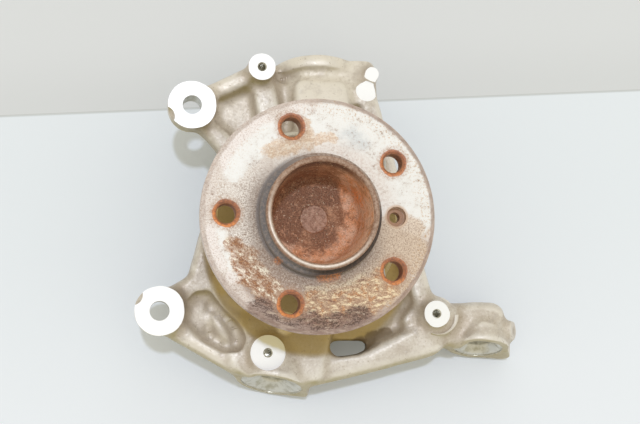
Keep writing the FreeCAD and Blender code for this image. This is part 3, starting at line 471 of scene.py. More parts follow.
    # Flaking lower left and bottom: cream scales over orange and brown rust
    flaky = s.blobs(moved, [(-54, -20, 9), (-49, -30, 12), (-42, -40, 14), (-35, -48, 13), (-28, -54, 11)])
    along = s.join(s.plus(s.times(x, 0.60), s.times(y, 0.75)),
                   s.minus(s.times(x, 0.36), s.times(y, 0.30)), z)
    flakes = s.noise(3.0, 7.0, 0.80, vector=s.wander(along, 5.0, 2.5))
    flaky_zone = ragged(flaky, 1.2, 1.2, 0.10, 0.60)
    colour = s.mix(s.times(flaky_zone, 0.75), colour,
                   s.mottle(dust, 0.42, 0.60, (0.70, 0.52, 0.40), (0.42, 0.24, 0.155)))
    colour = s.mix(s.times(flaky_zone, s.span(flakes, 0.49, 0.56)), colour,
                   s.mottle(dust, 0.40, 0.58, (0.50, 0.26, 0.13), (0.24, 0.105, 0.06)))
    colour = s.mix(s.times(flaky_zone, s.span(flakes, 0.46, 0.41)), colour, (0.98, 0.91, 0.78))
    bottom = s.blobs(moved, [(0, -57, 18), (14, -56, 19), (29, -52, 18),
                             (-10, -60, 12), (42, -43, 14), (8, -47, 11)])
    low = s.span(bottom, 0.1, 0.7)
    scales = s.noise(2.8, 6.0, 0.80, vector=s.wander(s.join(s.times(x, 0.5), s.times(y, 1.2), z), 5.0, 2.0))
    colour = s.mix(s.times(low, 0.7), colour,
                   s.mottle(dust, 0.42, 0.60, (0.62, 0.40, 0.24), (0.34, 0.165, 0.09)))
    rusty = s.times(low, s.span(s.noise(6.0, 5.0, 0.7), 0.50, 0.60, 0.0, 0.8))
    colour = s.mix(rusty, colour, s.mottle(dust, 0.42, 0.60, (0.70, 0.35, 0.15), (0.36, 0.15, 0.075)))
    colour = s.mix(s.times(low, s.span(scales, 0.51, 0.58, 0.0, 0.9)), colour, (0.95, 0.80, 0.56))
    colour = s.mix(s.times(low, s.span(scales, 0.44, 0.37, 0.0, 0.9)), colour, (0.20, 0.085, 0.05))
    arc = s.math("ABSOLUTE", s.minus(s.plus(radius, s.times(blotch, 6.0)), 50.0))
    arc = s.times(s.span(arc, 1.9, 0.6), s.span(s.blobs(flat, [(4, -47, 18), (20, -43, 16)]), 0.1, 0.5))
    colour = s.mix(s.times(arc, s.span(speck, 0.56, 0.48)), colour, (0.90, 0.78, 0.60))

    dark = s.blobs(moved, [(-24, -71, 16), (-8, -74, 16), (10, -73, 15), (-38, -65, 14), (27, -69, 14)])
    colour = s.mix(s.times(ragged(dark, 1.2, 1.6, 0.05, 0.60), 0.82), colour,
                   s.mottle(dust, 0.40, 0.60, (0.34, 0.225, 0.19), (0.15, 0.082, 0.06)))
    stretched = s.join(s.times(x, 0.55), s.times(y, 1.3), z)
    cracks = s.math("ABSOLUTE", s.minus(s.noise(8.0, 5.0, 0.72, vector=stretched, distortion=0.7), 0.5))
    cracks = s.times(s.span(dark, 0.05, 0.5), s.span(cracks, 0.030, 0.006))
    colour = s.mix(s.times(cracks, 0.9), colour, (0.075, 0.04, 0.03))
    ledge = s.times(s.span(dark, 0.2, 0.8), s.span(s.noise(5.0, 5.0, 0.7, vector=stretched), 0.57, 0.63))
    colour = s.mix(s.times(ledge, 0.75), colour, (0.62, 0.49, 0.40))

    # Outer edge of the face in darker brown, most on the right
    edge = s.plus(radius, s.times(s.minus(blotch, 0.5), 4.0))
    edge_weight = s.span(s.minus(s.times(y, 0.35), x), -10.0, 45.0, 0.8, 0.35)
    colour = s.mix(s.times(s.span(edge, 72.6, 74.4), edge_weight), colour,
                   s.mottle(streaks, 0.42, 0.62, (0.34, 0.235, 0.20), (0.54, 0.42, 0.365)))

    # Bed round the pilots: pale above, grey and brown to the left and below, with painted shade round their
    # foot
    bed = s.span(s.plus(radius, s.times(s.minus(blotch, 0.5), 14.0)), 52.0, 41.0)
    low_side = s.span(slope, 22.0, -12.0)
    colour = s.mix(s.times(s.times(bed, low_side), 0.8), colour,
                   s.mottle(speck, 0.42, 0.62, (0.40, 0.325, 0.285), (0.235, 0.165, 0.13)))
    inner = s.times(s.span(radius, 58.0, 50.0), s.span(slope, 12.0, -14.0))
    colour = s.mix(s.times(inner, s.span(dust, 0.50, 0.60, 0.0, 0.7)), colour, (0.24, 0.145, 0.10))
    colour = s.mix(s.times(inner, s.span(dust, 0.45, 0.37, 0.0, 0.75)), colour, (0.84, 0.72, 0.60))
    # Painted shade on the left: a dark ring round the foot of the pilots, and the left side of the step
    # grey
    shady = s.span(s.plus(s.times(x, 0.9), s.times(y, 0.35)), 16.0, -22.0)
    near = s.times(s.span(radius, 42.6, 40.2), s.plus(s.times(shady, 0.7), 0.05))
    colour = s.mix(near, colour, (0.185, 0.165, 0.165))
    step = s.times(s.span(radius, 40.0, 39.2), s.span(radius, 35.6, 36.3))
    grey = s.mix(shady, s.mottle(speck, 0.42, 0.62, (0.42, 0.325, 0.27), (0.22, 0.135, 0.095)),
                 s.mottle(speck, 0.42, 0.62, (0.155, 0.145, 0.15), (0.27, 0.225, 0.205)))
    # Painted shadow, nearly black, at the foot of the pilot on the lower right
    under = s.times(s.span(s.minus(s.times(x, 0.72), y), 14.0, 30.0), s.span(x, -16.0, 2.0))
    grey = s.mix(under, grey, s.mottle(speck, 0.42, 0.62, (0.035, 0.024, 0.02), (0.09, 0.055, 0.04)))
    colour = s.mix(s.times(step, s.span(z, 13.0, 9.0, 0.6, 0.95)), colour, grey)
    drip = s.times(s.blobs(flat, [(4, -40, 8), (-27, -30, 3.5), (10, -39, 5)]), s.span(dust, 0.56, 0.46))
    drip = s.times(drip, s.times(s.span(radius, 44.5, 41.5), s.span(radius, 38.6, 39.6)))
    colour = s.mix(drip, colour, s.mottle(speck, 0.42, 0.58, (0.72, 0.28, 0.09), (0.36, 0.15, 0.075)))

    for (hx, hy), painted_light in zip(WHEEL_HOLES, RING_RUST_HIGHLIGHT):
        ring = s.vector("DISTANCE", s.wander(flat, 5.0, 0.8), (hx, hy, 0.0))
        stain = s.times(s.span(ring, 13.0, 9.5), s.span(speck, 0.45, 0.58, 0.2, 0.8))
        colour = s.mix(stain, colour, (0.50, 0.33, 0.235))
        rust = s.mottle(speck, 0.42, 0.58, (0.50, 0.185, 0.085), (0.30, 0.13, 0.08))
        colour = s.mix(s.span(ring, 9.4, 8.7, 0.0, 0.95), colour, rust)
        # Orange rust with a painted highlight on the lit side of each ring
        lit = s.span(s.minus(s.times(x, -0.6), y), hx * -0.6 - hy - 6.0, hx * -0.6 - hy + 6.0)
        rust_highlight = s.times(s.times(s.span(ring, 9.3, 8.5), s.span(ring, 6.4, 7.1)), lit)
        rust_highlight = s.times(rust_highlight, s.span(speck, 0.56, 0.46, 0.35 * painted_light, painted_light))
        colour = s.mix(rust_highlight, colour, (0.80, 0.30, 0.10))
        colour = s.mottle(ring, 6.9, 6.3, colour, (0.36, 0.17, 0.095))
    screw = s.vector("DISTANCE", s.wander(flat, 4.0, 0.5), (50.5, 0.0, 0.0))
    colour = s.mix(s.span(screw, 8.4, 7.0, 0.0, 0.75), colour, (0.60, 0.42, 0.30))
    colour = s.mix(s.span(screw, 6.4, 5.6, 0.0, 0.9), colour, (0.46, 0.26, 0.16))

    # Rounded lip of the wheel pilot, with a painted highlight along its crest below
    lip = s.times(s.span(z, 10.5, 12.5), s.span(radius, 30.0, 32.0))
    lit_lip = s.span(s.minus(s.times(x, -0.45), y), -10.0, 30.0)
    crest = s.times(s.span(radius, 33.0, 33.9), s.span(radius, 35.7, 34.7))
    lip_colour = s.mottle(speck, 0.40, 0.60, (0.44, 0.30, 0.225), (0.25, 0.13, 0.08))
    lip_colour = s.mix(s.times(crest, s.plus(s.times(lit_lip, 0.7), 0.08)), lip_colour, (0.74, 0.66, 0.585))
    colour = s.mix(lip, colour, lip_colour)

    # Inside of the cup
    inside = s.times(s.span(radius, 33.2, 32.6), s.span(z, 15.2, 14.0))
    turned = s.noise(1.1, 3.0, 0.6, vector=s.join(s.times(radius, 0.9), s.times(z, 0.9), 0.0))
    cup = s.mottle(blotch, 0.38, 0.64, (0.31, 0.14, 0.07), (0.60, 0.345, 0.215))
    cup = s.mix(s.span(dust, 0.50, 0.64, 0.0, 0.8), cup, (0.12, 0.05, 0.028))
    cup = s.mix(s.span(dust, 0.44, 0.34, 0.0, 0.7), cup, (0.80, 0.55, 0.37))
    cup = s.mix(s.span(turned, 0.50, 0.66, 0.0, 0.45), cup, (0.20, 0.095, 0.055))
    fire = s.blobs(moved, [(27, 13, 15), (29, 0, 13), (25, -13, 14), (16, -25, 16), (2, -30, 16),
                           (-12, -27, 15), (22, 22, 11), (-22, -20, 9)])
    flame = s.mottle(dust, 0.46, 0.66, (0.98, 0.47, 0.23), (0.68, 0.32, 0.18))
    flame = s.mix(s.span(blotch, 0.40, 0.58), flame,
                  s.mottle(dust, 0.44, 0.62, (0.92, 0.62, 0.45), (0.58, 0.33, 0.22)))
    cup = s.mix(s.times(ragged(fire, 1.4, 2.2, 0.30, 1.15), 0.9), cup, flame)
    soot = s.blobs(moved, [(-8, 20, 17), (-20, 8, 15), (-16, -6, 14),
                           (8, 18, 13), (8, -12, 12), (-4, 4, 14)])
    cup = s.mix(s.times(s.span(soot, 0.1, 0.8), s.span(blotch, 0.36, 0.58, 0.30, 0.90)), cup,
                s.mottle(dust, 0.44, 0.60, (0.30, 0.145, 0.085), (0.10, 0.045, 0.028)))
    swirl = s.join(s.times(s.math("DIVIDE", x, radius), 4.0), s.times(s.math("DIVIDE", y, radius), 4.0),
                   s.times(s.minus(radius, z), 0.45))
    smears = s.noise(1.0, 5.0, 0.75, vector=swirl, distortion=0.4)
    cup = s.mix(s.span(smears, 0.53, 0.66, 0.0, 0.6), cup, (0.26, 0.115, 0.065))
    cup = s.mix(s.span(smears, 0.46, 0.36, 0.0, 0.6), cup, (0.78, 0.44, 0.27))
    ember = s.vector("DISTANCE", s.wander(s.hub, 7.0, 5.0), (31.0, 15.0, -12.0))
    ember = s.times(s.span(ember, 13.0, 5.0), s.span(s.plus(dust, s.times(blotch, 0.6)), 0.84, 0.72))
    cup = s.mix(s.times(ember, 0.9), cup, (1.0, 0.35, 0.12))
    # Painted shadow of the rim on the top of the cup's wall
    rim_shadow = s.times(s.span(z, 1.0, 11.0), s.span(s.minus(y, s.times(x, 0.25)), 2.0, 26.0))
    cup = s.mix(s.times(rim_shadow, 0.85), cup,
                s.mottle(speck, 0.42, 0.60, (0.16, 0.075, 0.045), (0.06, 0.026, 0.018)))
    disc = s.span(s.plus(radius, s.times(s.minus(speck, 0.5), 3.0)), 9.6, 8.4)
    cup = s.mix(s.times(disc, s.span(z, -20.0, -22.0, 0.0, 0.62)), cup,
                s.mottle(speck, 0.42, 0.60, (0.68, 0.46, 0.37), (0.33, 0.18, 0.13)))
    crumbs = s.span(s.noise(1.5, 3.0, 0.6), 0.645, 0.70)
    cup = s.mix(s.times(crumbs, 0.85), cup, (0.85, 0.72, 0.54))
    hairs = s.math("ABSOLUTE", s.minus(s.noise(5.0, 2.0, 0.5, distortion=1.5), 0.5))
    hairs = s.times(s.span(hairs, 0.012, 0.003), s.span(blotch, 0.5, 0.6, 0.0, 0.6))
    cup = s.mix(hairs, cup, (0.80, 0.62, 0.42))
    colour = s.mix(inside, colour, cup)

    # Turned neck and spindle behind the flange
    behind = s.span(z, -11.5, -13.5)
    colour = s.mix(s.times(behind, s.span(radius, 32.0, 34.0)), colour,
                   s.mottle(speck, 0.4, 0.65, (0.46, 0.385, 0.32), (0.28, 0.16, 0.10)))
    colour = s.mix(s.times(s.span(z, -60.0, -66.0), s.span(radius, 34.0, 32.0)), colour,
                   s.mottle(speck, 0.45, 0.65, (0.56, 0.53, 0.50), (0.40, 0.28, 0.20)))

    metal = s.times(s.times(shine, 0.25), s.span(z, -2.0, -0.5))
    # Painted highlight of the crest, made a little more metallic and smoother
    worn = s.times(s.times(lip, crest), lit_lip)
    metal = s.plus(metal, s.times(worn, 0.55))
    rough = s.minus(0.72, s.times(shine, 0.22))
    rough = s.minus(rough, s.times(worn, 0.36))
    height = s.plus(s.times(speck, 0.7), s.times(grit, 0.5))
    height = s.plus(height, s.times(blotch, 0.4))
    height = s.minus(height, s.times(cracks, 0.4))
    return s.finish(colour, rough, metal, s.bump(height, 0.35, 0.0005))


def plain_metal(name, light, dark, roughness, metallic, rust=0.0):
    """Finished steel part with faint mottling, and light rust where asked."""
    s = Shader(name)
    colour = s.mottle(s.noise(8.0, 5.0, 0.6), 0.38, 0.68, light, dark)
    colour = s.mix(s.span(s.noise(1.8, 4.0, 0.7), 0.56, 0.74, 0.0, rust), colour, (0.36, 0.17, 0.08))
    fine = s.noise(0.9, 3.0, 0.6)
    return s.finish(colour, roughness, metallic, s.bump(fine, 0.15, 0.0002))


def moulded(name, colour_a, colour_b, roughness):
    """Moulded rubber or plastic with a fine matte grain."""
    s = Shader(name)
    colour = s.mottle(s.noise(5.0, 4.0, 0.6), 0.4, 0.65, colour_a, colour_b)
    return s.finish(colour, roughness, 0.0, s.bump(s.noise(0.5, 2.0, 0.6), 0.2, 0.0002))


# Mesh work in hub-frame millimetres

def new_object(name, mesh):
    """An object in the scene that holds a mesh."""
    obj = bpy.data.objects.new(name, mesh)
    bpy.context.scene.collection.objects.link(obj)
    return obj


def mesh_from(name, build):
    """A mesh whose content a function adds to an empty bmesh."""
    bm = bmesh.new()
    build(bm)
    bmesh.ops.recalc_face_normals(bm, faces=bm.faces)
    mesh = bpy.data.meshes.new(name)
    bm.to_mesh(mesh)
    bm.free()
    return mesh


def lathe(bm, points, origin, axis, steps=72):
    """Adds the solid that (radius, height) points sweep about an axis."""
    up = Vector(axis).normalized()
    side = up.orthogonal().normalized()
    across = up.cross(side)
    rings = []
    for radius, height in points:
        if radius < 1e-6:
            rings.append([bm.verts.new(Vector(origin) + up * height)])
            continue
        ring = []
        for step in range(steps):
            angle = 2 * math.pi * step / steps
            beside = Vector(origin) + up * height + side * (radius * math.cos(angle))
            ring.append(bm.verts.new(beside + across * (radius * math.sin(angle))))
        rings.append(ring)
    for low, high in zip(rings, rings[1:]):
        for step in range(steps):
            after = (step + 1) % steps
            corners = [low[step % len(low)], low[after % len(low)],
                       high[after % len(high)], high[step % len(high)]]
            unique = list(dict.fromkeys(corners))
            if len(unique) > 2:
                bm.faces.new(unique)


def prism(bm, corners, front, back):
    """Adds a closed prism with given corners between two depths."""
    top = [bm.verts.new((x, y, -front)) for x, y in corners]
    low = [bm.verts.new((x, y, -back)) for x, y in corners]
    bm.faces.new(top)
    bm.faces.new(low[::-1])
    for step in range(len(corners)):
        after = (step + 1) % len(corners)
        bm.faces.new((top[step], low[step], low[after], top[after]))


def post(bm, place, radius, front, back, steps=72):
    """Adds a closed cylinder along the hub axis between two depths."""
    lathe(bm, [(0, -back), (radius, -back), (radius, -front), (0, -front)],
          (place[0], place[1], 0), (0, 0, 1), steps)


def rod(bm, start, axis, radius, length, steps=72):
    """Adds a closed cylinder along an axis."""
    lathe(bm, [(0, 0), (radius, 0), (radius, length), (0, length)], start, axis, steps)


def slab_box(bm, centre, axes, halves):
    """Adds a box with given axes and half sizes."""
    corners = []
    for sx in (-1, 1):
        for sy in (-1, 1):
            for sz in (-1, 1):
                corners.append(bm.verts.new(Vector(centre) + axes[0] * (sx * halves[0])
                                            + axes[1] * (sy * halves[1]) + axes[2] * (sz * halves[2])))
    for face in ((0, 1, 3, 2), (4, 6, 7, 5), (0, 4, 5, 1), (2, 3, 7, 6), (0, 2, 6, 4), (1, 5, 7, 3)):
        bm.faces.new([corners[index] for index in face])


def apply_modifier(obj, kind, **settings):
    """Replaces an object's mesh by what a modifier makes of it."""
    modifier = obj.modifiers.new(kind, kind)
    for key, value in settings.items():
        setattr(modifier, key, value)
    depsgraph = bpy.context.evaluated_depsgraph_get()
    mesh = bpy.data.meshes.new_from_object(obj.evaluated_get(depsgraph))
    obj.modifiers.clear()
    obj.data = mesh


def remesh(obj, size):
    """Rebuilds an object's mesh in voxels of a size."""
    apply_modifier(obj, "REMESH", mode="VOXEL", voxel_size=size, adaptivity=0.0)


def places_and_normals(mesh):
    """Places and normals of a mesh's vertices, one row for each."""
    places = np.zeros(len(mesh.vertices) * 3)
    normals = np.zeros(len(mesh.vertices) * 3)
    mesh.vertices.foreach_get("co", places)
    mesh.vertex_normals.foreach_get("vector", normals)
    return places.reshape(-1, 3), normals.reshape(-1, 3)


def swell(obj, distance):
    """Moves every vertex along its normal."""
    places, normals = places_and_normals(obj.data)
    obj.data.vertices.foreach_set("co", (places + normals * distance).ravel())
    obj.data.update()


def cut(obj, build, operation="DIFFERENCE"):
    """Cuts, or joins, a shape that a function builds."""
    tool = new_object("tool", mesh_from("tool", build))
    apply_modifier(obj, "BOOLEAN", operation=operation, solver="MANIFOLD", object=tool)
    bpy.data.objects.remove(tool)


def strut_axes():
    """Right, away from the wheel, and up the strut."""
    lean = math.radians(STRUT_LEAN)
    up = Vector((0, math.cos(lean), -math.sin(lean)))
    right = up.cross(Vector((0, 0, 1))).normalized()
    return right, up.cross(right), up


def joint_seat(bm, place, axis, radius):
    """What a ball-joint seat removes, the same as in the solid."""
    lathe(bm, [(0, 14), (radius, 14), (radius, -1), (radius - 2.5, -1), (9.5, -6), (7, -72), (0, -72)],
          place, axis, 96)


def fill_holes(bm):
    """Plugs and pads that make the rough casting, before it is machined."""
    for place in (UPPER_EAR, LOWER_EAR):
        post(bm, place, EAR_RADIUS, FACE_DEPTH - 3.5, FACE_DEPTH + 12)
        post(bm, place, EAR_HOLE_RADIUS + 1, FACE_DEPTH - 3, 85)
    for place, radius in SHIELD_RADII.items():
        post(bm, place, radius - 0.5, FACE_DEPTH - 3.5, FACE_DEPTH + 10)
        post(bm, place, SHIELD_HOLE_RADIUS + 1, FACE_DEPTH - 0.5, 85)
    for place in BOLT_PLACES:
        post(bm, place, 8, SEAT_DEPTH - 0.5, 91)
    post(bm, (0, 0), 60, SEAT_DEPTH - 2.5, 91.9)
    for place, (radius, depth) in NUBS.items():
        post(bm, place, radius, depth - 3, depth + 8)


def shape_pocket(obj):
    """Levels the corner beside the lower ear, sinks the pocket in it and raises the blister."""
    def rim(bm):
        prism(bm, POCKET_RIM, RIB_DEPTH + 0.5, RIB_DEPTH + 15)

    def hollow(bm):
        prism(bm, POCKET, FACE_DEPTH, POCKET_FLOOR)

    def bottom(bm):
        prism(bm, POCKET_DEEP, FACE_DEPTH, POCKET_BOTTOM)

    def blister(bm):
        matrix = (Matrix.Translation(BLISTER) @ Matrix.Rotation(math.radians(BLISTER_TURN), 4, "Z")
                  @ Matrix.Diagonal(BLISTER_HALF_SIZES).to_4x4())
        bmesh.ops.create_icosphere(bm, subdivisions=4, radius=1.0, matrix=matrix)

    cut(obj, rim, "UNION")
    cut(obj, hollow)
    cut(obj, bottom)
    cut(obj, blister, "UNION")


def mark_cavities(obj, rounds=26):
    """Stores each point's depth in its smoothed surroundings: above zero in hollows, below on edges."""
    mesh = obj.data
    count = len(mesh.vertices)
    places, normals = places_and_normals(mesh)
    ends = np.zeros(len(mesh.edges) * 2, dtype=np.int64)
    mesh.edges.foreach_get("vertices", ends)
    one, other = ends.reshape(-1, 2).T
    degree = np.bincount(ends, minlength=count)
    soft = places
    for _ in range(rounds):
        sums = [np.bincount(one, soft[other, k], count) + np.bincount(other, soft[one, k], count)
                for k in range(3)]
        soft = np.stack(sums, axis=1) / degree[:, None]
    depth = ((soft - places) * normals).sum(axis=1)
    mesh.attributes.new("cavity", "FLOAT", "POINT").data.foreach_set("value", depth)


def machine(obj):
    """Cuts every machined face and hole."""
    right, away, up = strut_axes()

    def bearing_seat(bm):
        lathe(bm, [(0, 0), (SEAT_RADIUS, 0), (SEAT_RADIUS, -SEAT_DEPTH), (SPIGOT_BORE_RADIUS, -SEAT_DEPTH),
                   (SPIGOT_BORE_RADIUS, -SPIGOT_BORE_DEPTH), (CARRIER_BORE_RADIUS, -SPIGOT_BORE_DEPTH),
                   (CARRIER_BORE_RADIUS, -140), (0, -140)], (0, 0, 0), (0, 0, 1), 160)

    def faces(bm):
        for place in (UPPER_EAR, LOWER_EAR):
            post(bm, place, EAR_RADIUS + 2.5, 40, FACE_DEPTH)
        for place, radius in SHIELD_RADII.items():
            post(bm, place, radius + 0.4, 40, FACE_DEPTH)
        for place, (radius, depth) in NUBS.items():
            post(bm, place, radius + 1.5, 52, depth)

    def holes(bm):
        for place in (UPPER_EAR, LOWER_EAR):
            post(bm, place, EAR_HOLE_RADIUS, 30, 120)
        for place in SHIELD_RADII:
            end = -FACE_DEPTH - SHIELD_HOLE_DEPTH
            lathe(bm, [(0, end), (SHIELD_HOLE_RADIUS, end), (SHIELD_HOLE_RADIUS, -FACE_DEPTH - 0.8),
                       (SHIELD_HOLE_RADIUS + 1.6, -FACE_DEPTH + 0.8), (0, -FACE_DEPTH + 0.8)],
                  (place[0], place[1], 0), (0, 0, 1), 40)
        for place in BOLT_PLACES:
            post(bm, place, BOLT_HOLE_RADIUS, 46, 98, 48)

    def spot_faces(bm):
        for place in BOLT_PLACES:
            post(bm, place, BOLT_SPOT_RADIUS, RIB_BACK, 150, 64)

    def clamp(bm):
        rod(bm, STRUT_TOP - up * STRUT_BORE_DEPTH, up, STRUT_BORE_RADIUS, STRUT_BORE_DEPTH + 20, 120)

    def slot(bm):
        slab_box(bm, STRUT_TOP + right * STRUT_SLOT_HALVES[0] - up * 14, (right, away, up),
                 STRUT_SLOT_HALVES)

    def pinch(bm):
        rod(bm, STRUT_TOP + right * PINCH_REACH - up * PINCH_DEPTH - away * 17, away, PINCH_RADIUS, 60, 48)

    def lower_seat(bm):
        joint_seat(bm, LOWER_JOINT, LOWER_JOINT_AXIS, LOWER_JOINT_SEAT)

    def arm_seat(bm):
        joint_seat(bm, ARM_JOINT, ARM_JOINT_AXIS, ARM_JOINT_SEAT)

    for build in (bearing_seat, faces, holes, spot_faces, clamp, slot, pinch, lower_seat, arm_seat):
        cut(obj, build)


def shield_lip(bm):
    """Raised crescent at the lower right of the right shield boss."""
    steps, around = 26, 12
    rings = []
    for step in range(steps + 1):
        share = step / steps
        angle = math.radians(LIP_START + LIP_SWEEP * share)
        thick = 1.1 + 1.3 * share * share
        reach = 12.9 + 0.9 * share
        middle = Vector((PEDESTAL[0] + reach * math.cos(angle),
                         PEDESTAL[1] + reach * math.sin(angle), -LIP_DEPTH))
        outward = Vector((math.cos(angle), math.sin(angle), 0))
        ring = []
        for part in range(around):
            turn = 2 * math.pi * part / around
            ring.append(bm.verts.new(middle + outward * (thick * math.cos(turn))
                                     + Vector((0, 0, 3.6 * math.sin(turn)))))
        rings.append(ring)
    for low, high in zip(rings, rings[1:]):
        for part in range(around):
            after = (part + 1) % around
            bm.faces.new((low[part], low[after], high[after], high[part]))
    bm.faces.new(rings[0][::-1])
    bm.faces.new(rings[-1])


def ear_chips(bm):
    """Low unmachined corners at the left edge of both ear faces."""
    for x, y, size in EAR_CHIPS:
        bmesh.ops.create_icosphere(bm, subdivisions=4, radius=size,
                                   matrix=Matrix.Translation((x, y, -FACE_DEPTH + 3.4)))


def roughen(obj):
    """Small waves of the sand mould on the cast skin."""
    mesh = obj.data
    for vertex, normal in zip(mesh.vertices, [n.vector.copy() for n in mesh.vertex_normals]):
        wave = sum(noise.noise(vertex.co * rate) * height for rate, height in SKIN_WAVES)
        vertex.co += normal * wave
    mesh.update()


def mark_faces(mesh):
    """Gives every face of the casting its material slot by where it lies."""
    centres = np.zeros(len(mesh.polygons) * 3)
    normals = np.zeros(len(mesh.polygons) * 3)
    mesh.polygons.foreach_get("center", centres)
    mesh.polygons.foreach_get("normal", normals)
    centres = centres.reshape(-1, 3)
    normals = normals.reshape(-1, 3)
    slots = np.zeros(len(mesh.polygons), dtype=int)

    def off_axis(origin, axis):
        """Distance of each face from an axis, and how far along it the face lies."""
        origin = np.array(origin, float)
        axis = np.array(axis, float)
        offset = centres - origin
        along = offset @ axis
        return np.linalg.norm(offset - np.outer(along, axis), axis=1), along

    def from_post(place):
        """Distance of each face from a line along the hub axis."""
        return np.hypot(centres[:, 0] - place[0], centres[:, 1] - place[1])

    facing = normals[:, 2] > 0.98
    level = (np.abs(centres[:, 2] + FACE_DEPTH) < PLANE_SLACK) & facing
    slots[level] = MACHINED
    for place, (radius, depth) in NUBS.items():
        inside = from_post(place) < radius + 1
        slots[inside & facing & (np.abs(centres[:, 2] + depth) < PLANE_SLACK)] = MACHINED
    slots[(np.abs(centres[:, 2] + RIB_BACK) < PLANE_SLACK) & (normals[:, 2] < -0.98)] = MACHINED
    for place, radius in ((UPPER_EAR, EAR_HOLE_RADIUS), (LOWER_EAR, EAR_HOLE_RADIUS),
                          ((0, 0), SPIGOT_BORE_RADIUS), ((0, 0), CARRIER_BORE_RADIUS)):
        wall = np.abs(from_post(place) - radius) < WALL_SLACK
        slots[wall & (np.abs(normals[:, 2]) < 0.2)] = BORED
    for place in SHIELD_RADII:
        close = from_post(place) < SHIELD_HOLE_RADIUS + 1.0
        slots[close & (centres[:, 2] < -FACE_DEPTH - PLANE_SLACK)] = BORED
    for place in BOLT_PLACES:
        slots[np.abs(from_post(place) - BOLT_HOLE_RADIUS) < WALL_SLACK] = BORED
    right, away, up = strut_axes()
    distance, along = off_axis(STRUT_TOP, up)
    slots[(np.abs(distance - STRUT_BORE_RADIUS) < 0.2) & (along > -STRUT_BORE_DEPTH - 0.5)] = BORED
    for place, axis, radius in ((LOWER_JOINT, LOWER_JOINT_AXIS, LOWER_JOINT_SEAT),
                                (ARM_JOINT, ARM_JOINT_AXIS, ARM_JOINT_SEAT)):
        distance, along = off_axis(place, axis)
        slots[(distance < radius + 0.15) & (along < 0.8) & (along > -7.5)] = BORED
        slots[(distance < 10) & (along < -6) & (along > -60)] = BORED
    mesh.polygons.foreach_set("material_index", slots.astype(np.int32))


def steering_knuckle():
    """The casting: the solid's mesh with soft cast corners, machined again afterwards."""
    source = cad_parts["steering_knuckle"]
    mesh = source.data.copy()
    mesh.materials.clear()
    mesh.transform(Matrix.Scale(1 / MM, 4) @ TO_HUB)
    obj = new_object("knuckle_casting", mesh)
    plugs = new_object("plugs", mesh_from("plugs", fill_holes))
    bm = bmesh.new()
    bm.from_mesh(mesh)
    bm.from_mesh(plugs.data)
    bm.to_mesh(mesh)
    bm.free()
    bpy.data.objects.remove(plugs)
    remesh(obj, VOXEL)
    shape_pocket(obj)
    remesh(obj, VOXEL)
    swell(obj, FILLET)
    remesh(obj, VOXEL)
    swell(obj, -FILLET)
    apply_modifier(obj, "SMOOTH", factor=0.5, iterations=6)
    roughen(obj)
    cut(obj, shield_lip, "UNION")
    mark_cavities(obj)
    machine(obj)
    cut(obj, ear_chips)
    mesh = obj.data
    mesh.materials.clear()
    for material in (cast_aluminium(), machined_aluminium(), bored_aluminium()):
        mesh.materials.append(material)
    mark_faces(mesh)
    mesh.transform(TO_ROW @ Matrix.Scale(MM, 4))
    mesh.set_sharp_from_angle(angle=math.radians(SHARP_ANGLE))
    for polygon in mesh.polygons:
        polygon.use_smooth = polygon.material_index != MACHINED
    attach(obj, "knuckle")
    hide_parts("steering_knuckle")


def dress_nodes():
    """Materials for the nodes whose solids are shown as they are."""
    bearing = plain_metal("ground_steel", (0.62, 0.61, 0.59), (0.50, 0.48, 0.45), 0.32, 0.85, 0.5)
    bolt = plain_metal("bolt_steel", (0.56, 0.57, 0.58), (0.42, 0.43, 0.43), 0.45, 0.75, 0.6)
    sheet = plain_metal("sheet_steel", (0.60, 0.60, 0.59), (0.47, 0.46, 0.44), 0.38, 0.85, 0.3)
    ball = plain_metal("ball_steel", (0.72, 0.72, 0.72), (0.66, 0.66, 0.66), 0.12, 1.0)
    rubber = moulded("seal_rubber", (0.03, 0.03, 0.03), (0.06, 0.055, 0.05), 0.65)
    encoder = moulded("encoder_rubber", (0.05, 0.045, 0.04), (0.09, 0.08, 0.075), 0.55)
    cage = moulded("cage_plastic", (0.72, 0.67, 0.54), (0.62, 0.56, 0.43), 0.5)
    by_node = {
        "hub_flange": rusted_hub(), "bearing_outer_ring": bearing, "inner_ring": bearing,
        "outboard_balls": ball, "inboard_balls": ball, "outboard_cage": cage, "inboard_cage": cage,
        "outboard_seal_case": sheet, "inboard_seal_case": sheet, "outboard_slinger": sheet,
        "encoder_carrier": sheet, "encoder_ring": encoder,
        "outboard_seal_lip": rubber, "inboard_seal_lip": rubber,
        "bearing_bolt_1": bolt, "bearing_bolt_2": bolt, "bearing_bolt_3": bolt, "bearing_bolt_4": bolt,
    }
    for name, material in by_node.items():
        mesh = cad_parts[name].data
        mesh.materials.clear()
        mesh.materials.append(material)


# Stage, light and camera

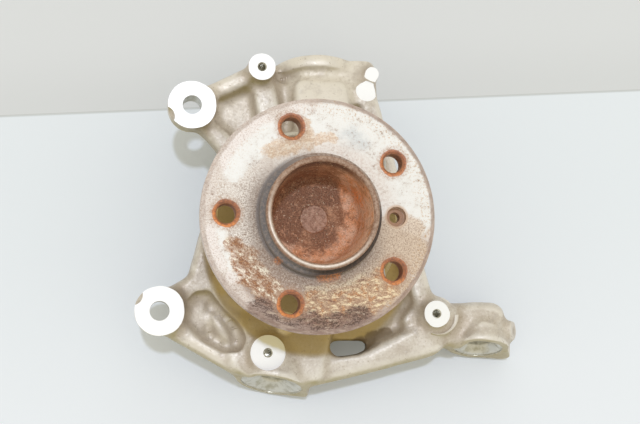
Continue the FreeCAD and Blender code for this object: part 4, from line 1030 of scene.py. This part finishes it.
def stage():
    """Pale floor with the seam that the photograph shows behind the part."""
    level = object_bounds()[0][2]
    left = on_plane(SEAM_LEFT, level)
    right = on_plane(SEAM_RIGHT, level)
    along = (right - left).normalized()
    across = Vector((-along.y, along.x, 0))
    mesh = bpy.data.meshes.new("floor")
    corners = [(x * FLOOR_REACH, y * FLOOR_REACH, level) for x, y in ((-1, -1), (1, -1), (1, 1), (-1, 1))]
    mesh.from_pydata(corners, [], [(0, 1, 2, 3)])
    obj = new_object("floor", mesh)
    s = Shader("floor")
    point = s.add("ShaderNodeTexCoord").outputs["Object"]
    past = s.vector("DOT_PRODUCT", s.vector("SUBTRACT", point, tuple(left)), tuple(across))
    near = s.mottle(past, -0.34, -0.05, (0.845, 0.885, 0.96), (0.795, 0.845, 0.91))
    far = s.mottle(past, 0.0, 0.06, (0.68, 0.70, 0.725), (0.715, 0.735, 0.765))
    colour = s.mottle(past, -0.0004, 0.0004, near, far)
    seam = s.times(s.span(past, -0.0016, -0.0006), s.span(past, 0.0010, 0.0002))
    colour = s.mix(s.times(seam, 0.45), colour, (0.42, 0.43, 0.41))
    mesh.materials.append(s.finish(colour, 0.55))
    s.bsdf.inputs["Specular IOR Level"].default_value = 0.15
    obj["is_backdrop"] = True


def light():
    """Warm sky and a cooler, nearly sharp sun."""
    world = bpy.data.worlds.new("studio")
    bpy.context.scene.world = world
    world.use_nodes = True
    background = world.node_tree.nodes["Background"]
    background.inputs["Color"].default_value = SKY_COLOUR
    background.inputs["Strength"].default_value = SKY_STRENGTH
    lamp = bpy.data.lights.new("key", "SUN")
    lamp.energy = SUN_STRENGTH
    lamp.angle = math.radians(SUN_WIDTH)
    lamp.color = SUN_COLOUR
    key = bpy.data.objects.new("key", lamp)
    bpy.context.scene.collection.objects.link(key)
    towards = TO_ROW.to_3x3() @ Vector(SUN_DIRECTION).normalized()
    key.rotation_euler = towards.to_track_quat("Z", "Y").to_euler()


def camera_matrix():
    """Place and turn of the photograph's camera, in the scene's frame."""
    right = Vector(CAMERA_RIGHT).normalized()
    back = -Vector(CAMERA_AHEAD).normalized()
    up = back.cross(right).normalized()
    matrix = Matrix((up.cross(back), up, back)).transposed().to_4x4()
    matrix.translation = Vector(CAMERA_PLACE) * MM
    return TO_ROW @ matrix


def on_plane(pixel, height):
    """Point where a pixel of the photograph meets a level plane."""
    matrix = camera_matrix()
    ray = matrix.to_3x3() @ Vector(((pixel[0] - PICTURE_CENTRE[0]) / FOCAL_PIXELS,
                                    (PICTURE_CENTRE[1] - pixel[1]) / FOCAL_PIXELS, -1))
    start = matrix.translation
    return start + ray * ((height - start.z) / ray.z)


def camera():
    """Makes the photograph's camera the scene's camera."""
    data = bpy.data.cameras.new("camera")
    data.sensor_width = SENSOR_WIDTH
    data.lens = FOCAL_PIXELS / PICTURE_WIDTH * SENSOR_WIDTH
    data.clip_start = 0.01
    obj = bpy.data.objects.new("camera", data)
    bpy.context.scene.collection.objects.link(obj)
    obj.matrix_world = camera_matrix()
    bpy.context.scene.camera = obj


bpy.context.scene.view_settings.view_transform = "Standard"
camera()
light()
dress_nodes()
steering_knuckle()
stage()
